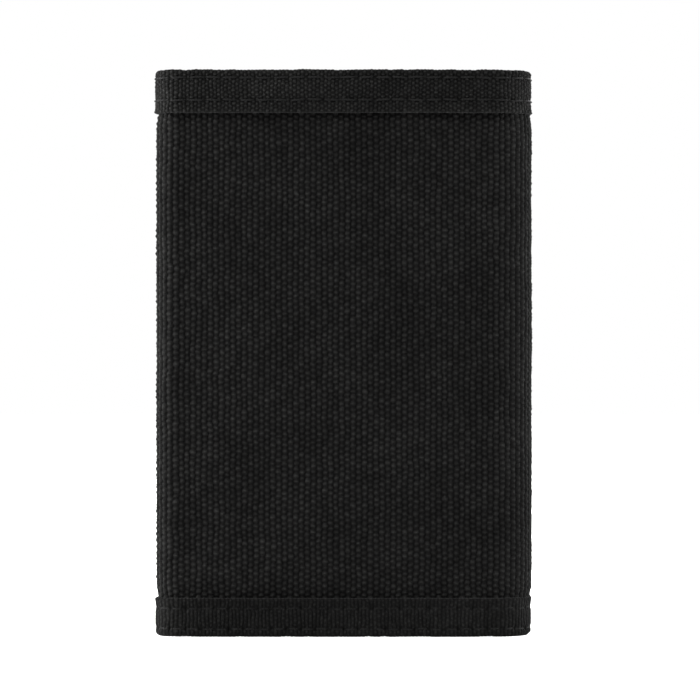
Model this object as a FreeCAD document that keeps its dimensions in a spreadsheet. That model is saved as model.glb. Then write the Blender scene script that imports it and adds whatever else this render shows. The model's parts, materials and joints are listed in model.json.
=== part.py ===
"""Trifold canvas wallet, standing on its lower edge, outer flap swung half open.

Frame: +X across the centre panel, +Y from its outside towards the flaps, +Z up.
The origin is the middle of the centre panel's lower edge.  Every leaf is drawn in a
frame of its own: x along the cloth, y from the outer face inwards, z up.
"""
import FreeCAD, Part
import os
import Sketcher

doc = FreeCAD.newDocument("trifold_wallet")

# ---------------------------------------------------------------- driving sizes
SIZES = [
    ("overall_width", 84.0, "closed width over the bindings"),
    ("overall_height", 127.0, "height over the bindings"),
    ("canvas", 1.2, "thickness of the main cloth"),
    ("lining", 0.4, "thickness of the note pocket's inner wall"),
    ("web", 0.5, "thickness of the binding tape"),
    ("binding_width", 9.5, "how far a folded binding reaches over the cloth"),
    ("bevel", 0.35, "rounding of a binding where it turns over the edge"),
    ("bill_slack", 0.2, "free space between the two bindings of the note pocket"),
    ("lining_drop", 3.5, "how far the inner wall stops below the top edge"),
    ("pocket_cloth", 0.4, "thickness of one card pocket"),
    ("leaf_gap", 0.3, "air between the centre panel and the folded inner flap"),
    ("clasp_gap", 2.9, "air between the bindings of the two flaps when closed"),
    ("spine_flat", 1.2, "flat strip between the two creases of the outer fold"),
    ("inner_free_margin", 2.5, "inner flap's free edge short of the outer fold"),
    ("outer_free_margin", 2.5, "outer flap's free edge short of the left side"),
    ("card_inset", 1.0, "card pockets short of the folds on each side"),
    ("card_first", 100.0, "height of the tallest card pocket"),
    ("card_step", 13.0, "step from one card pocket to the next"),
    ("film", 0.4, "thickness of the clear window"),
    ("frame_drop", 7.5, "window's cloth frame below the upper binding"),
    ("window_wide", 46.0, "clear width of the window"),
    ("window_high", 72.0, "clear height of the window"),
    ("window_sill", 22.0, "lower edge of the clear window"),
    ("window_corner", 4.0, "corner radius of the window"),
    ("film_lap", 5.0, "film caught behind the frame all round"),
    ("clasp_wide", 18.0, "width of the hook strip"),
    ("clasp_high", 84.0, "height of the hook strip"),
    ("clasp_sill", 20.0, "lower end of the hook strip"),
    ("clasp_air", 0.3, "air between hooks and loops when closed"),
    ("clasp_inset", 1.2, "hook strip in from the end binding"),
    ("loop_extra", 4.0, "loop strip larger than the hook strip"),
    ("patch_margin", 2.0, "cloth patch beyond the hook strip"),
    ("coin_side", 1.5, "coin pocket in from the fold"),
    ("coin_gap", 2.8, "coin pocket short of the hook strip's patch"),
    ("coin_sill", 12.0, "lower edge of the coin pocket"),
    ("coin_drop", 4.5, "coin pocket below the upper binding"),
    ("coin_cloth", 0.8, "thickness of the coin pocket's front"),
    ("coin_room", 2.2, "depth inside the coin pocket"),
    ("coin_hem", 1.6, "turned edge of the coin pocket"),
    ("coin_corner", 3.0, "corner radius of the coin pocket"),
    ("zip_start", 11.0, "lower end of the zip slot above the pocket's edge"),
    ("zip_finish", 10.0, "upper end of the zip slot below the pocket's edge"),
    ("slot_wide", 8.0, "width of the zip slot"),
    ("tape_edge", 1.6, "zip tape's edge from the middle line"),
    ("tape_wide", 9.0, "width of one zip tape"),
    ("tape_end", 5.0, "zip tape beyond the slot"),
    ("tooth_pitch", 2.4, "from one tooth to the next in a row"),
    ("tooth_high", 1.0, "tooth along the zip"),
    ("tooth_thick", 1.7, "tooth through the tape"),
    ("tooth_root", 2.7, "tooth's jaws from the middle line"),
    ("tooth_tip", 0.5, "tooth's tip past the middle line"),
    ("tooth_nose", 0.3, "bevel at the tooth's tip"),
    ("zip_play", 0.15, "running clearance of the slider on the teeth"),
    ("slider_long", 8.0, "length of the slider"),
    ("slider_wide", 7.6, "width of the slider"),
    ("slider_plate", 0.7, "thickness of each slider plate"),
    ("slider_corner", 1.6, "corner radius of the slider plates"),
    ("flange", 0.6, "width of the slider's side flanges"),
    ("tape_play", 0.1, "clearance of the flanges on the tape"),
    ("wedge_wide", 2.2, "width of the wedge that parts the teeth"),
    ("wedge_long", 1.8, "length of that wedge"),
    ("slider_seat", 1.6, "slider above the lower end of the slot when shut"),
    ("stop_high", 1.2, "height of the stops at both ends of the teeth"),
    ("stop_play", 0.3, "air between the slider and its stops"),
    ("crown_wide", 1.6, "width of the arch that holds the pull"),
    ("crown_long", 4.6, "length of the arch"),
    ("crown_low", 2.0, "arch above the slider's lower end"),
    ("crown_leg", 1.0, "length of each leg of the arch"),
    ("crown_air", 0.75, "clear height under the arch"),
    ("crown_bar", 0.4, "thickness of the arch"),
    ("pull_bar", 0.5, "diameter of the pull's bar"),
    ("pull_thick", 0.5, "thickness of the pull"),
    ("pull_wide", 4.4, "width of the pull"),
    ("pull_arm", 0.8, "width of the pull's two arms"),
    ("pull_eye", 4.2, "length of the pull's eye"),
    ("pull_long", 16.0, "length of the pull"),
    ("pull_play", 0.15, "clearance of the pull in the arch"),
]

sheet = doc.addObject("Spreadsheet::Sheet", "Sizes")
for row, (alias, value, note) in enumerate(SIZES, start=1):
    sheet.set("A%d" % row, note)
    sheet.set("B%d" % row, "%g" % value)
    sheet.setAlias("B%d" % row, alias)
doc.recompute()


def cell(alias):
    """The expression that reads one driving size."""
    return "Sizes." + alias


def plus(*terms):
    """The expression that adds its terms."""
    return "(" + " + ".join(terms) + ")"


def minus(first, *terms):
    """The expression that takes the other terms from the first."""
    return "(" + " - ".join((first,) + terms) + ")"


def part_of(term, divisor):
    """The expression that divides a term."""
    return "(%s / %s)" % (term, divisor)


# ---------------------------------------------------------------- shared expressions
WEB = cell("web")
CANVAS = cell("canvas")
HEIGHT = cell("overall_height")
BINDING = cell("binding_width")
HALF_WIDTH = part_of(cell("overall_width"), 2)
SHELL_HALF = minus(HALF_WIDTH, WEB)

LINING_OUT = plus(CANVAS, WEB, WEB, cell("bill_slack"))
LINING_IN = plus(LINING_OUT, cell("lining"))
POCKETS = "(3 * %s)" % cell("pocket_cloth")
STACK = plus(LINING_IN, POCKETS)
FOLD_STACK = LINING_IN

BAND_LOW = minus(HEIGHT, BINDING)
LINING_TOP = minus(HEIGHT, cell("lining_drop"))

CENTRE_FACE = "(-%s)" % part_of(STACK, 2)
INNER_FACE = plus(CENTRE_FACE, "2 * " + plus(STACK, WEB, part_of(cell("leaf_gap"), 2)))
OUTER_FACE = plus(INNER_FACE, WEB, cell("clasp_gap"), WEB, STACK)
INNER_RADIUS = part_of(minus(INNER_FACE, CENTRE_FACE), 2)
OUTER_RADIUS = part_of(minus(OUTER_FACE, CENTRE_FACE, cell("spine_flat")), 2)
CENTRE_LEFT = minus(INNER_RADIUS, SHELL_HALF)
CENTRE_RIGHT = minus(SHELL_HALF, OUTER_RADIUS)
CREASE = "(pi / 2 * %s)" % minus(OUTER_RADIUS, part_of(CANVAS, 2))
OUTER_RUN = plus(cell("spine_flat"), CREASE)

CENTRE_LONG = minus(CENTRE_RIGHT, CENTRE_LEFT)
INNER_LONG = minus(CENTRE_LONG, cell("inner_free_margin"))
OUTER_LONG = minus(plus(CENTRE_RIGHT, HALF_WIDTH), cell("outer_free_margin"))


class Leaf:
    """One flat leaf: where its frame lies, how it is turned, and its free end."""

    def __init__(self, name, base_x, base_y, turn, length, free_end):
        self.name = name
        self.base = (base_x, base_y)
        self.turn = turn
        self.length = length
        self.start = WEB if free_end == "start" else "0"
        self.finish = minus(length, WEB) if free_end == "finish" else length
        self.free_end = free_end


CENTRE = Leaf("centre", CENTRE_LEFT, CENTRE_FACE, 0, CENTRE_LONG, None)
INNER = Leaf("inner_flap", plus(CENTRE_LEFT, INNER_LONG), INNER_FACE, 180, INNER_LONG, "start")
OUTER = Leaf("outer_flap", SHELL_HALF, plus(CENTRE_FACE, OUTER_RADIUS, OUTER_RUN), 90,
             OUTER_LONG, "finish")

parts = []


def place(obj, base, turn, x="0", y="0", z="0"):
    """Put an object at (x, y, z) of a frame that is turned about Z."""
    turned = {0: (x, y), 90: ("-" + y, x), 180: ("-" + x, "-" + y)}[turn]
    axis = FreeCAD.Vector(0, 0, 1)
    obj.Placement = FreeCAD.Placement(FreeCAD.Vector(), FreeCAD.Rotation(axis, turn))
    obj.setExpression("Placement.Base.x", "%s + %s" % (base[0], turned[0]))
    obj.setExpression("Placement.Base.y", "%s + %s" % (base[1], turned[1]))
    obj.setExpression("Placement.Base.z", z)


def keep(obj, label):
    """Name a finished sub-part and list it for export."""
    obj.Label = label
    parts.append(obj)
    return obj


def block(name, leaf, x, y, z):
    """A flat sheet of a leaf; x, y and z are (low, high) pairs of expressions."""
    obj = doc.addObject("Part::Box", name)
    obj.setExpression("Length", minus(x[1], x[0]))
    obj.setExpression("Width", minus(y[1], y[0]))
    obj.setExpression("Height", minus(z[1], z[0]))
    place(obj, leaf.base, leaf.turn, "(%s)" % x[0], "(%s)" % y[0], z[0])
    return obj


def cut(name, base, *tools):
    """What is left of base once each tool is taken away."""
    for number, tool in enumerate(tools):
        obj = doc.addObject("Part::Cut", "%s_%d" % (name, number))
        obj.Base = base
        obj.Tool = tool
        base = obj
    return base


def round_edges(name, base, radius, wanted):
    """Fillet the edges of base for which wanted(edge) holds."""
    doc.recompute()
    size = sheet.get(radius)
    obj = doc.addObject("Part::Fillet", name)
    obj.Base = base
    obj.Edges = [(number, size, size) for number, edge in enumerate(base.Shape.Edges, start=1)
                 if wanted(edge)]
    return obj


def origin_feature(body, role):
    """The plane or axis of a body's own origin."""
    return [one for one in body.Origin.OriginFeatures if one.Role == role][0]


def profile(body, plane, points, offset="0"):
    """A closed outline with straight sides; every corner is held by two sizes."""
    sketch = body.newObject("Sketcher::SketchObject", body.Name + "_outline")
    sketch.AttachmentSupport = (origin_feature(body, plane), [""])
    sketch.MapMode = "FlatFace"
    sketch.setExpression("AttachmentOffset.Base.z", offset)
    count = len(points)
    ring = [FreeCAD.Vector(10, 0, 0)]
    turn = FreeCAD.Rotation(FreeCAD.Vector(0, 0, 1), 360.0 / count)
    for _ in points[1:]:
        ring.append(turn.multVec(ring[-1]))
    for index in range(count):
        sketch.addGeometry(Part.LineSegment(ring[index], ring[(index + 1) % count]), False)
    for index in range(count):
        sketch.addConstraint(Sketcher.Constraint("Coincident", index, 2, (index + 1) % count, 1))
    for index, (across, up) in enumerate(points):
        for kind, value in (("DistanceX", across), ("DistanceY", up)):
            number = sketch.addConstraint(Sketcher.Constraint(kind, index, 1, 1.0))
            sketch.setExpression("Constraints[%d]" % number, value)
    return sketch


def pad(body, sketch, length, reverse=False, midplane=False):
    """Push an outline out to a length."""
    obj = body.newObject("PartDesign::Pad", body.Name + "_pad")
    obj.Profile = sketch
    obj.setExpression("Length", length)
    obj.Reversed = reverse
    obj.Midplane = midplane
    body.Tip = obj
    return obj


def hook_outline(low, high, edge, reach):
    """Cross-section of a tape folded over an edge, in (across, up) expressions.

    low and high are the faces it grips, edge is its folded end, reach the end of
    its two legs.  The folded end is bevelled.
    """
    if edge == "0":
        inside, shoulder = WEB, cell("bevel")
    else:
        inside, shoulder = minus(edge, WEB), minus(edge, cell("bevel"))
    out_low, out_high = minus(low, WEB), plus(high, WEB)
    return [(out_low, reach), (out_low, shoulder), (plus(out_low, cell("bevel")), edge),
            (minus(out_high, cell("bevel")), edge), (out_high, shoulder), (out_high, reach),
            (high, reach), (high, inside), (low, inside), (low, reach)]


def strip_outline(low, high, bottom, top):
    """Cross-section of a flat cloth layer."""
    return [(low, bottom), (high, bottom), (high, top), (low, top)]


def layer_outlines(stack):
    """The five layers that every leaf and fold has, as cross-sections."""
    return [
        ("shell", strip_outline("0", CANVAS, WEB, minus(HEIGHT, WEB))),
        ("top_binding", hook_outline("0", CANVAS, HEIGHT, BAND_LOW)),
        ("lining", strip_outline(LINING_OUT, LINING_IN, WEB, minus(LINING_TOP, WEB))),
        ("lining_binding", hook_outline(LINING_OUT, LINING_IN, LINING_TOP, BAND_LOW)),
        ("bottom_binding", hook_outline("0", stack, "0", BINDING)),
    ]


def make_leaf(leaf):
    """The cloth layers and bindings of one leaf."""
    for layer, outline in layer_outlines(STACK):
        body = doc.addObject("PartDesign::Body", "%s_%s" % (leaf.name, layer))
        if layer in ("shell", "lining"):
            start, finish = leaf.start, leaf.finish
        else:
            start, finish = "0", leaf.length
        pad(body, profile(body, "YZ_Plane", outline, start), minus(finish, start))
        place(body, leaf.base, leaf.turn)
        keep(body, "%s_%s" % (leaf.name, layer))
    if leaf.free_end:
        make_end_binding(leaf)


def make_end_binding(leaf):
    """The tape folded over a flap's free upright edge."""
    body = doc.addObject("PartDesign::Body", leaf.name + "_end_binding")
    edge, reach = ("0", BINDING)
    if leaf.free_end == "finish":
        edge, reach = leaf.length, minus(leaf.length, BINDING)
    outline = [(up, across) for across, up in hook_outline("0", STACK, edge, reach)]
    pad(body, profile(body, "XY_Plane", outline, BINDING), minus(HEIGHT, BINDING, BINDING))
    place(body, leaf.base, leaf.turn)
    keep(body, leaf.name + "_end_binding")


def revolve(body, sketch, angle, reverse):
    """Turn an outline about the body's upright axis."""
    obj = body.newObject("PartDesign::Revolution", body.Name + "_bend")
    obj.Profile = sketch
    obj.ReferenceAxis = (origin_feature(body, "Z_Axis"), [""])
    obj.Angle = angle
    obj.Reversed = reverse
    body.Tip = obj


def make_fold(name, centre_x, radius, angle, reverse, run):
    """The cloth of one fold, bent about an upright line, with a flat run after it."""
    for layer, outline in layer_outlines(FOLD_STACK):
        body = doc.addObject("PartDesign::Body", "%s_%s" % (name, layer))
        bent = [(minus(across, radius), up) for across, up in outline]
        revolve(body, profile(body, "YZ_Plane", bent), angle, reverse)
        if run:
            flat = [(minus(radius, across), up) for across, up in outline]
            pad(body, profile(body, "XZ_Plane", flat), run, reverse=True)
        place(body, (centre_x, plus(CENTRE_FACE, radius)), 0)
        keep(body, "%s_%s" % (name, layer))


def make_card_pockets():
    """Three stepped card pockets on the centre panel's lining, the tallest behind."""
    for number, name in enumerate(("back", "middle", "front")):
        face = plus(LINING_IN, "%d * %s" % (number, cell("pocket_cloth")))
        top = minus(cell("card_first"), "%d * %s" % (number, cell("card_step")))
        side = cell("card_inset")
        keep(block("card_pocket_" + name, CENTRE, (side, minus(CENTRE_LONG, side)),
                   (face, plus(face, cell("pocket_cloth"))), (WEB, top)),
             "card_pocket_" + name)


def make_window():
    """The clear window on the inner flap and the cloth frame sewn over it."""
    middle = part_of(plus(WEB, INNER_LONG), 2)
    half = part_of(cell("window_wide"), 2)
    lap = cell("film_lap")
    sill, head = cell("window_sill"), plus(cell("window_sill"), cell("window_high"))
    film_face = plus(LINING_IN, cell("film"))
    keep(block("id_window_film", INNER,
               (minus(middle, half, lap), plus(middle, half, lap)),
               (LINING_IN, film_face), (minus(sill, lap), plus(head, lap))), "id_window_film")
    cloth = block("window_cloth", INNER, (WEB, minus(INNER_LONG, cell("card_inset"))),
                  (film_face, STACK), (WEB, minus(BAND_LOW, cell("frame_drop"))))
    hole = block("window_hole", INNER, (minus(middle, half), plus(middle, half)),
                 (film_face, STACK), (sill, head))
    frame = cut("window_frame", cloth, hole)
    doc.recompute()
    inside = hole.Shape.BoundBox

    def at_window_corner(edge):
        box = edge.BoundBox
        return box.YLength > box.XLength + box.ZLength and inside.isInside(box.Center)

    keep(round_edges("window_rounding", frame, "window_corner", at_window_corner),
         "id_window_frame")


HOOK_HIGH_X = minus(OUTER_LONG, BINDING, cell("clasp_inset"))
HOOK_LOW_X = minus(HOOK_HIGH_X, cell("clasp_wide"))
CLASP_DEPTH = part_of(minus(plus(cell("clasp_gap"), WEB, WEB), cell("clasp_air")), 2)
CLASP_HEAD = plus(cell("clasp_sill"), cell("clasp_high"))


def make_clasp():
    """Hook strip on its cloth patch inside the outer flap, loop strip outside the inner flap."""
    keep(block("hook_patch", OUTER, (minus(HOOK_LOW_X, cell("patch_margin")), OUTER.finish),
               (LINING_IN, STACK), (WEB, minus(HEIGHT, BINDING, cell("patch_margin")))),
         "hook_patch")
    keep(block("hook_strip", OUTER, (HOOK_LOW_X, HOOK_HIGH_X),
               (STACK, plus(STACK, CLASP_DEPTH)), (cell("clasp_sill"), CLASP_HEAD)),
         "hook_strip")
    extra = part_of(cell("loop_extra"), 2)
    flap_free_x = minus(CENTRE_RIGHT, cell("inner_free_margin"), CENTRE_RIGHT)
    low = plus(flap_free_x, HOOK_LOW_X)
    high = plus(flap_free_x, HOOK_HIGH_X)
    keep(block("loop_strip", INNER, (minus(low, extra), plus(high, extra)),
               ("(-%s)" % CLASP_DEPTH, "0"),
               (minus(cell("clasp_sill"), extra), plus(CLASP_HEAD, extra))), "loop_strip")


COIN_LOW_X = cell("coin_side")
COIN_HIGH_X = minus(HOOK_LOW_X, cell("patch_margin"), cell("coin_gap"))
COIN_HEAD = minus(BAND_LOW, cell("coin_drop"))
COIN_INSIDE = plus(LINING_IN, cell("coin_room"))
COIN_FACE = plus(COIN_INSIDE, cell("coin_cloth"))
ZIP_X = part_of(plus(COIN_LOW_X, COIN_HIGH_X), 2)
ZIP_LOW = plus(cell("coin_sill"), cell("zip_start"))
ZIP_HIGH = minus(COIN_HEAD, cell("zip_finish"))
ZIP_MIDDLE = minus(COIN_INSIDE, part_of(WEB, 2))


def make_coin_pocket():
    """Shallow tray of cloth sewn inside the outer flap, with a slot for its zip."""
    hem = cell("coin_hem")
    outside = block("coin_outside", OUTER, (COIN_LOW_X, COIN_HIGH_X), (LINING_IN, COIN_FACE),
                    (cell("coin_sill"), COIN_HEAD))

    def at_pocket_corner(edge):
        box = edge.BoundBox
        return box.XLength > box.YLength + box.ZLength

    tray = round_edges("coin_rounding", outside, "coin_corner", at_pocket_corner)
    room = block("coin_space", OUTER, (plus(COIN_LOW_X, hem), minus(COIN_HIGH_X, hem)),
                 (LINING_IN, COIN_INSIDE), (plus(cell("coin_sill"), hem), minus(COIN_HEAD, hem)))
    half = part_of(cell("slot_wide"), 2)
    slot = block("coin_slot", OUTER, (minus(ZIP_X, half), plus(ZIP_X, half)),
                 (COIN_INSIDE, COIN_FACE), (ZIP_LOW, ZIP_HIGH))
    keep(cut("coin_pocket", tray, room, slot), "coin_pocket_front")


def zip_body(name):
    """A body whose frame is on the zip's middle line, at the tape's mid-thickness."""
    return doc.addObject("PartDesign::Body", name)


def place_on_zip(body, z):
    """Put a zip piece on the middle line at a height."""
    place(body, OUTER.base, OUTER.turn, ZIP_X, ZIP_MIDDLE, z)


SLIDER_LOW = plus(ZIP_LOW, cell("slider_seat"))
TEETH_LOW = plus(SLIDER_LOW, cell("wedge_long"), cell("stop_play"))
TEETH_HIGH = minus(ZIP_HIGH, cell("stop_high"))


def sided(points, side):
    """An outline on the fold side (-1) or the free side (+1) of the middle line."""
    return [("(%d * %s)" % (side, across), up) for across, up in points]


def make_zip_tapes_and_teeth():
    """Two tapes behind the slot, each with its row of jaws, the rows half a pitch apart."""
    half_web = part_of(WEB, 2)
    half_tooth = part_of(cell("tooth_thick"), 2)
    nose = cell("tooth_nose")
    root, grip, tip = cell("tooth_root"), cell("tape_edge"), "(-%s)" % cell("tooth_tip")
    jaws = [(root, half_tooth), (plus(tip, nose), half_tooth), (tip, minus(half_tooth, nose)),
            (tip, minus(nose, half_tooth)), (plus(tip, nose), "(-%s)" % half_tooth),
            (root, "(-%s)" % half_tooth), (root, "(-%s)" % half_web), (grip, "(-%s)" % half_web),
            (grip, half_web), (root, half_web)]
    tape = strip_outline(grip, plus(grip, cell("tape_wide")), "(-%s)" % half_web, half_web)
    for number, (side, word) in enumerate(((-1, "fold_side"), (1, "free_side"))):
        body = zip_body("zip_tape_" + word)
        pad(body, profile(body, "XY_Plane", sided(tape, side)),
            plus(minus(ZIP_HIGH, ZIP_LOW), "2 * " + cell("tape_end")))
        place_on_zip(body, minus(ZIP_LOW, cell("tape_end")))
        keep(body, "zip_tape_" + word)

        body = zip_body("zip_teeth_" + word)
        tooth = pad(body, profile(body, "XY_Plane", sided(jaws, side)), cell("tooth_high"))
        row = body.newObject("PartDesign::LinearPattern", "tooth_row_" + word)
        row.Originals = [tooth]
        row.Direction = (origin_feature(body, "Z_Axis"), [""])
        lead = "%d * %s" % (number, part_of(cell("tooth_pitch"), 2))
        room = minus(TEETH_HIGH, TEETH_LOW, cell("tooth_high"), lead)
        row.Mode = "Spacing"
        row.setExpression("Offset", cell("tooth_pitch"))
        row.setExpression("Occurrences", "floor(%s / %s) + 1" % (room, cell("tooth_pitch")))
        body.Tip = row
        place_on_zip(body, plus(TEETH_LOW, lead))
        keep(body, "zip_teeth_" + word)


def make_zip_stops():
    """A bar across both rows at the far end, and one clip each side below the slider."""
    half = part_of(cell("tooth_thick"), 2)
    root, grip = cell("tooth_root"), cell("tape_edge")
    body = zip_body("zip_end_stop")
    bar = strip_outline("(-%s)" % grip, grip, "(-%s)" % half, half)
    pad(body, profile(body, "XY_Plane", bar), cell("stop_high"))
    place_on_zip(body, TEETH_HIGH)
    keep(body, "zip_end_stop")
    half_web = part_of(WEB, 2)
    clip = [(root, half), (grip, half), (grip, half_web), (root, half_web)]
    for side, word in ((-1, "fold_side"), (1, "free_side")):
        body = zip_body("zip_stop_" + word)
        pad(body, profile(body, "XY_Plane", sided(clip, side)), cell("stop_high"))
        place_on_zip(body, minus(SLIDER_LOW, cell("stop_play"), cell("stop_high")))
        keep(body, "zip_stop_" + word)


HALF_CHAIN = plus(part_of(cell("tooth_thick"), 2), cell("zip_play"))
PLATE_FACE = plus(HALF_CHAIN, cell("slider_plate"))
BAR_OFF = plus(PLATE_FACE, cell("pull_play"), part_of(cell("pull_bar"), 2))
BAR_UP = plus(cell("crown_low"), cell("crown_leg"), cell("pull_play"), part_of(cell("pull_bar"), 2))


def make_slider():
    """Two flanged plates joined by a wedge, with an arch for the pull on the upper one."""
    body = zip_body("slider_plates")
    half = part_of(cell("slider_wide"), 2)
    inner = minus(half, cell("flange"))
    lip = plus(part_of(WEB, 2), cell("tape_play"))
    for sign in ("1", "(-1)"):
        channel = [(half, PLATE_FACE), ("(-%s)" % half, PLATE_FACE), ("(-%s)" % half, lip),
                   ("(-%s)" % inner, lip), ("(-%s)" % inner, HALF_CHAIN), (inner, HALF_CHAIN),
                   (inner, lip), (half, lip)]
        outline = [(across, "(%s * %s)" % (sign, up)) for across, up in channel]
        pad(body, profile(body, "XY_Plane", outline), cell("slider_long"))
        if sign == "1":
            wedge = part_of(cell("wedge_wide"), 2)
            outline = strip_outline("(-%s)" % wedge, wedge, "(-%s)" % PLATE_FACE, PLATE_FACE)
            pad(body, profile(body, "XY_Plane", outline), cell("wedge_long"))
    low = cell("crown_low")
    high = plus(low, cell("crown_long"))
    leg = cell("crown_leg")
    under = plus(PLATE_FACE, cell("crown_air"))
    over = plus(under, cell("crown_bar"))
    arch = [(PLATE_FACE, low), (over, low), (over, high), (PLATE_FACE, high),
            (PLATE_FACE, minus(high, leg)), (under, minus(high, leg)), (under, plus(low, leg)),
            (PLATE_FACE, plus(low, leg))]
    pad(body, profile(body, "YZ_Plane", arch), cell("crown_wide"), midplane=True)
    place_on_zip(body, SLIDER_LOW)
    doc.recompute()
    whole = body.Shape.BoundBox

    def at_plate_corner(edge):
        box = edge.BoundBox
        on_side = min(box.YMin - whole.YMin, whole.YMax - box.YMax) < 0.01
        on_end = min(box.ZMin - whole.ZMin, whole.ZMax - box.ZMax) < 0.01
        return on_side and on_end and box.XLength > box.YLength + box.ZLength

    keep(round_edges("slider_rounding", body, "slider_corner", at_plate_corner), "zip_slider")


def make_pull():
    """Flat tab with two arms and a round bar that turns under the slider's arch."""
    body = zip_body("zip_pull")
    half = part_of(cell("pull_wide"), 2)
    inner = minus(half, cell("pull_arm"))
    eye, end = "(-%s)" % cell("pull_eye"), "(-%s)" % cell("pull_long")
    tip = part_of(cell("pull_wide"), 4)
    outline = [("(-%s)" % half, "0"), ("(-%s)" % inner, "0"), ("(-%s)" % inner, eye),
               (inner, eye), (inner, "0"), (half, "0"), (half, plus(end, tip)), (tip, end),
               ("(-%s)" % tip, end), ("(-%s)" % half, plus(end, tip))]
    pad(body, profile(body, "XZ_Plane", outline), cell("pull_thick"), midplane=True)
    sketch = body.newObject("Sketcher::SketchObject", "pull_bar_outline")
    sketch.AttachmentSupport = (origin_feature(body, "YZ_Plane"), [""])
    sketch.MapMode = "FlatFace"
    sketch.addGeometry(Part.Circle(FreeCAD.Vector(), FreeCAD.Vector(0, 0, 1), 1), False)
    sketch.addConstraint(Sketcher.Constraint("Coincident", 0, 3, -1, 1))
    number = sketch.addConstraint(Sketcher.Constraint("Radius", 0, 1))
    sketch.setExpression("Constraints[%d]" % number, part_of(cell("pull_bar"), 2))
    pad(body, sketch, cell("pull_wide"), midplane=True)
    place(body, OUTER.base, OUTER.turn, ZIP_X, plus(ZIP_MIDDLE, BAR_OFF),
          plus(SLIDER_LOW, BAR_UP))
    keep(body, "zip_pull")


# ---------------------------------------------------------------- the wallet
for leaf in (CENTRE, INNER, OUTER):
    make_leaf(leaf)
make_fold("inner_fold", CENTRE_LEFT, INNER_RADIUS, 180, True, None)
make_fold("outer_fold", CENTRE_RIGHT, OUTER_RADIUS, 90, False, OUTER_RUN)
make_card_pockets()
make_window()
make_clasp()
make_coin_pocket()
make_zip_tapes_and_teeth()
make_zip_stops()
make_slider()
make_pull()
doc.recompute()

for obj in doc.Objects:
    if "Invalid" in obj.State or "Error" in obj.State:
        raise RuntimeError("%s could not be built: %s" % (obj.Name, obj.State))
for obj in parts:
    if obj.Shape.isNull() or not obj.Shape.isValid():
        raise RuntimeError("%s has no valid shape" % obj.Label)

os.makedirs("parts", exist_ok=True)
for obj in parts:
    obj.Shape.exportStep("parts/%s.step" % obj.Label)
    box = obj.Shape.BoundBox
    print("%-28s solids %2d  x %7.2f %7.2f  y %7.2f %7.2f  z %7.2f %7.2f" % (
        obj.Label, len(obj.Shape.Solids), box.XMin, box.XMax, box.YMin, box.YMax,
        box.ZMin, box.ZMax))
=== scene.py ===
"""Canvas trifold wallet: cloth, tape, seams, pockets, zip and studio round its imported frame.

Everything sewn follows one line of cloth: the inner flap, the inner fold, the centre
panel, the outer fold and the outer flap, end to end.  A point of the wallet is given as
run (metres along the outer face, 0 at the left end of the centre panel), depth (metres
below that face) and height (metres above the lower edge).
"""
import json
import math

import bpy
import numpy as np
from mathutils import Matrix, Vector


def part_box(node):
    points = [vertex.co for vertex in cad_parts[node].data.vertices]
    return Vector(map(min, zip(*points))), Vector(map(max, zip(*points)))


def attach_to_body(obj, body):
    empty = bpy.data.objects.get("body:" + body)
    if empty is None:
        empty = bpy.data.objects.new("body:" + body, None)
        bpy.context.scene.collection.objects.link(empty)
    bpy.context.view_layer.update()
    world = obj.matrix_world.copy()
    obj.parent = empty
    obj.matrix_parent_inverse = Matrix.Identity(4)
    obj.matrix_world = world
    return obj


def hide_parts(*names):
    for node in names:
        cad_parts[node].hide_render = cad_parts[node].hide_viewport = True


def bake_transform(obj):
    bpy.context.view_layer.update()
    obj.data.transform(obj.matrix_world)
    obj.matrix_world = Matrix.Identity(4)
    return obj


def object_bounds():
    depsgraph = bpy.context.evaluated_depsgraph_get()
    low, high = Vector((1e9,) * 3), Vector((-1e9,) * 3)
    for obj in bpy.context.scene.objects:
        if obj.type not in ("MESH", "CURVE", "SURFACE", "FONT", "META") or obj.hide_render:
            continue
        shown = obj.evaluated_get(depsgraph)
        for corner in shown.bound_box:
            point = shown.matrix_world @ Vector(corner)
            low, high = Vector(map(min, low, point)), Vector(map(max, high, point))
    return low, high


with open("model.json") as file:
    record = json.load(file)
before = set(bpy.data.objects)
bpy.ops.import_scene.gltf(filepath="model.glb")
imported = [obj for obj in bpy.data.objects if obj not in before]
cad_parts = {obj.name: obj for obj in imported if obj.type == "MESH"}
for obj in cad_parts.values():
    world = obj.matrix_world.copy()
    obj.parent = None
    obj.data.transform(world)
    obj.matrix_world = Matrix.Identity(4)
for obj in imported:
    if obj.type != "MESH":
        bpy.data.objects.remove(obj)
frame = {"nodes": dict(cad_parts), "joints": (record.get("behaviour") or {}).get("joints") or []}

CAD_BOX = [list(corner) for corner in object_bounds()]
MM = 0.001

# ------------------------------------------------------------------ the line of cloth
CENTRE_LOW, CENTRE_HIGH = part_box("centre_shell")
INNER_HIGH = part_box("inner_flap_top_binding")[1]
INNER_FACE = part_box("inner_flap_shell")[1].y
OUTER_SHELL_LOW, OUTER_SHELL_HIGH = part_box("outer_flap_shell")
OUTER_FACE = OUTER_SHELL_HIGH.x
LEFT, FACE = CENTRE_LOW.x, CENTRE_LOW.y
CANVAS = CENTRE_HIGH.y - FACE
CENTRE_LENGTH = CENTRE_HIGH.x - LEFT
INNER_RADIUS = (INNER_FACE - FACE) / 2
OUTER_RADIUS = OUTER_FACE - CENTRE_HIGH.x
INNER_TURN = math.pi * INNER_RADIUS
OUTER_TURN = math.pi / 2 * OUTER_RADIUS
OUTER_RUN = OUTER_SHELL_LOW.y - FACE - OUTER_RADIUS
OUTER_START = CENTRE_LENGTH + OUTER_TURN + OUTER_RUN
INNER_END = -INNER_TURN - (INNER_HIGH.x - LEFT)
OUTER_END = OUTER_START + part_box("outer_flap_top_binding")[1].y - OUTER_SHELL_LOW.y
HEIGHT = CAD_BOX[1][2]
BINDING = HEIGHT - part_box("centre_top_binding")[0].z
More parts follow.
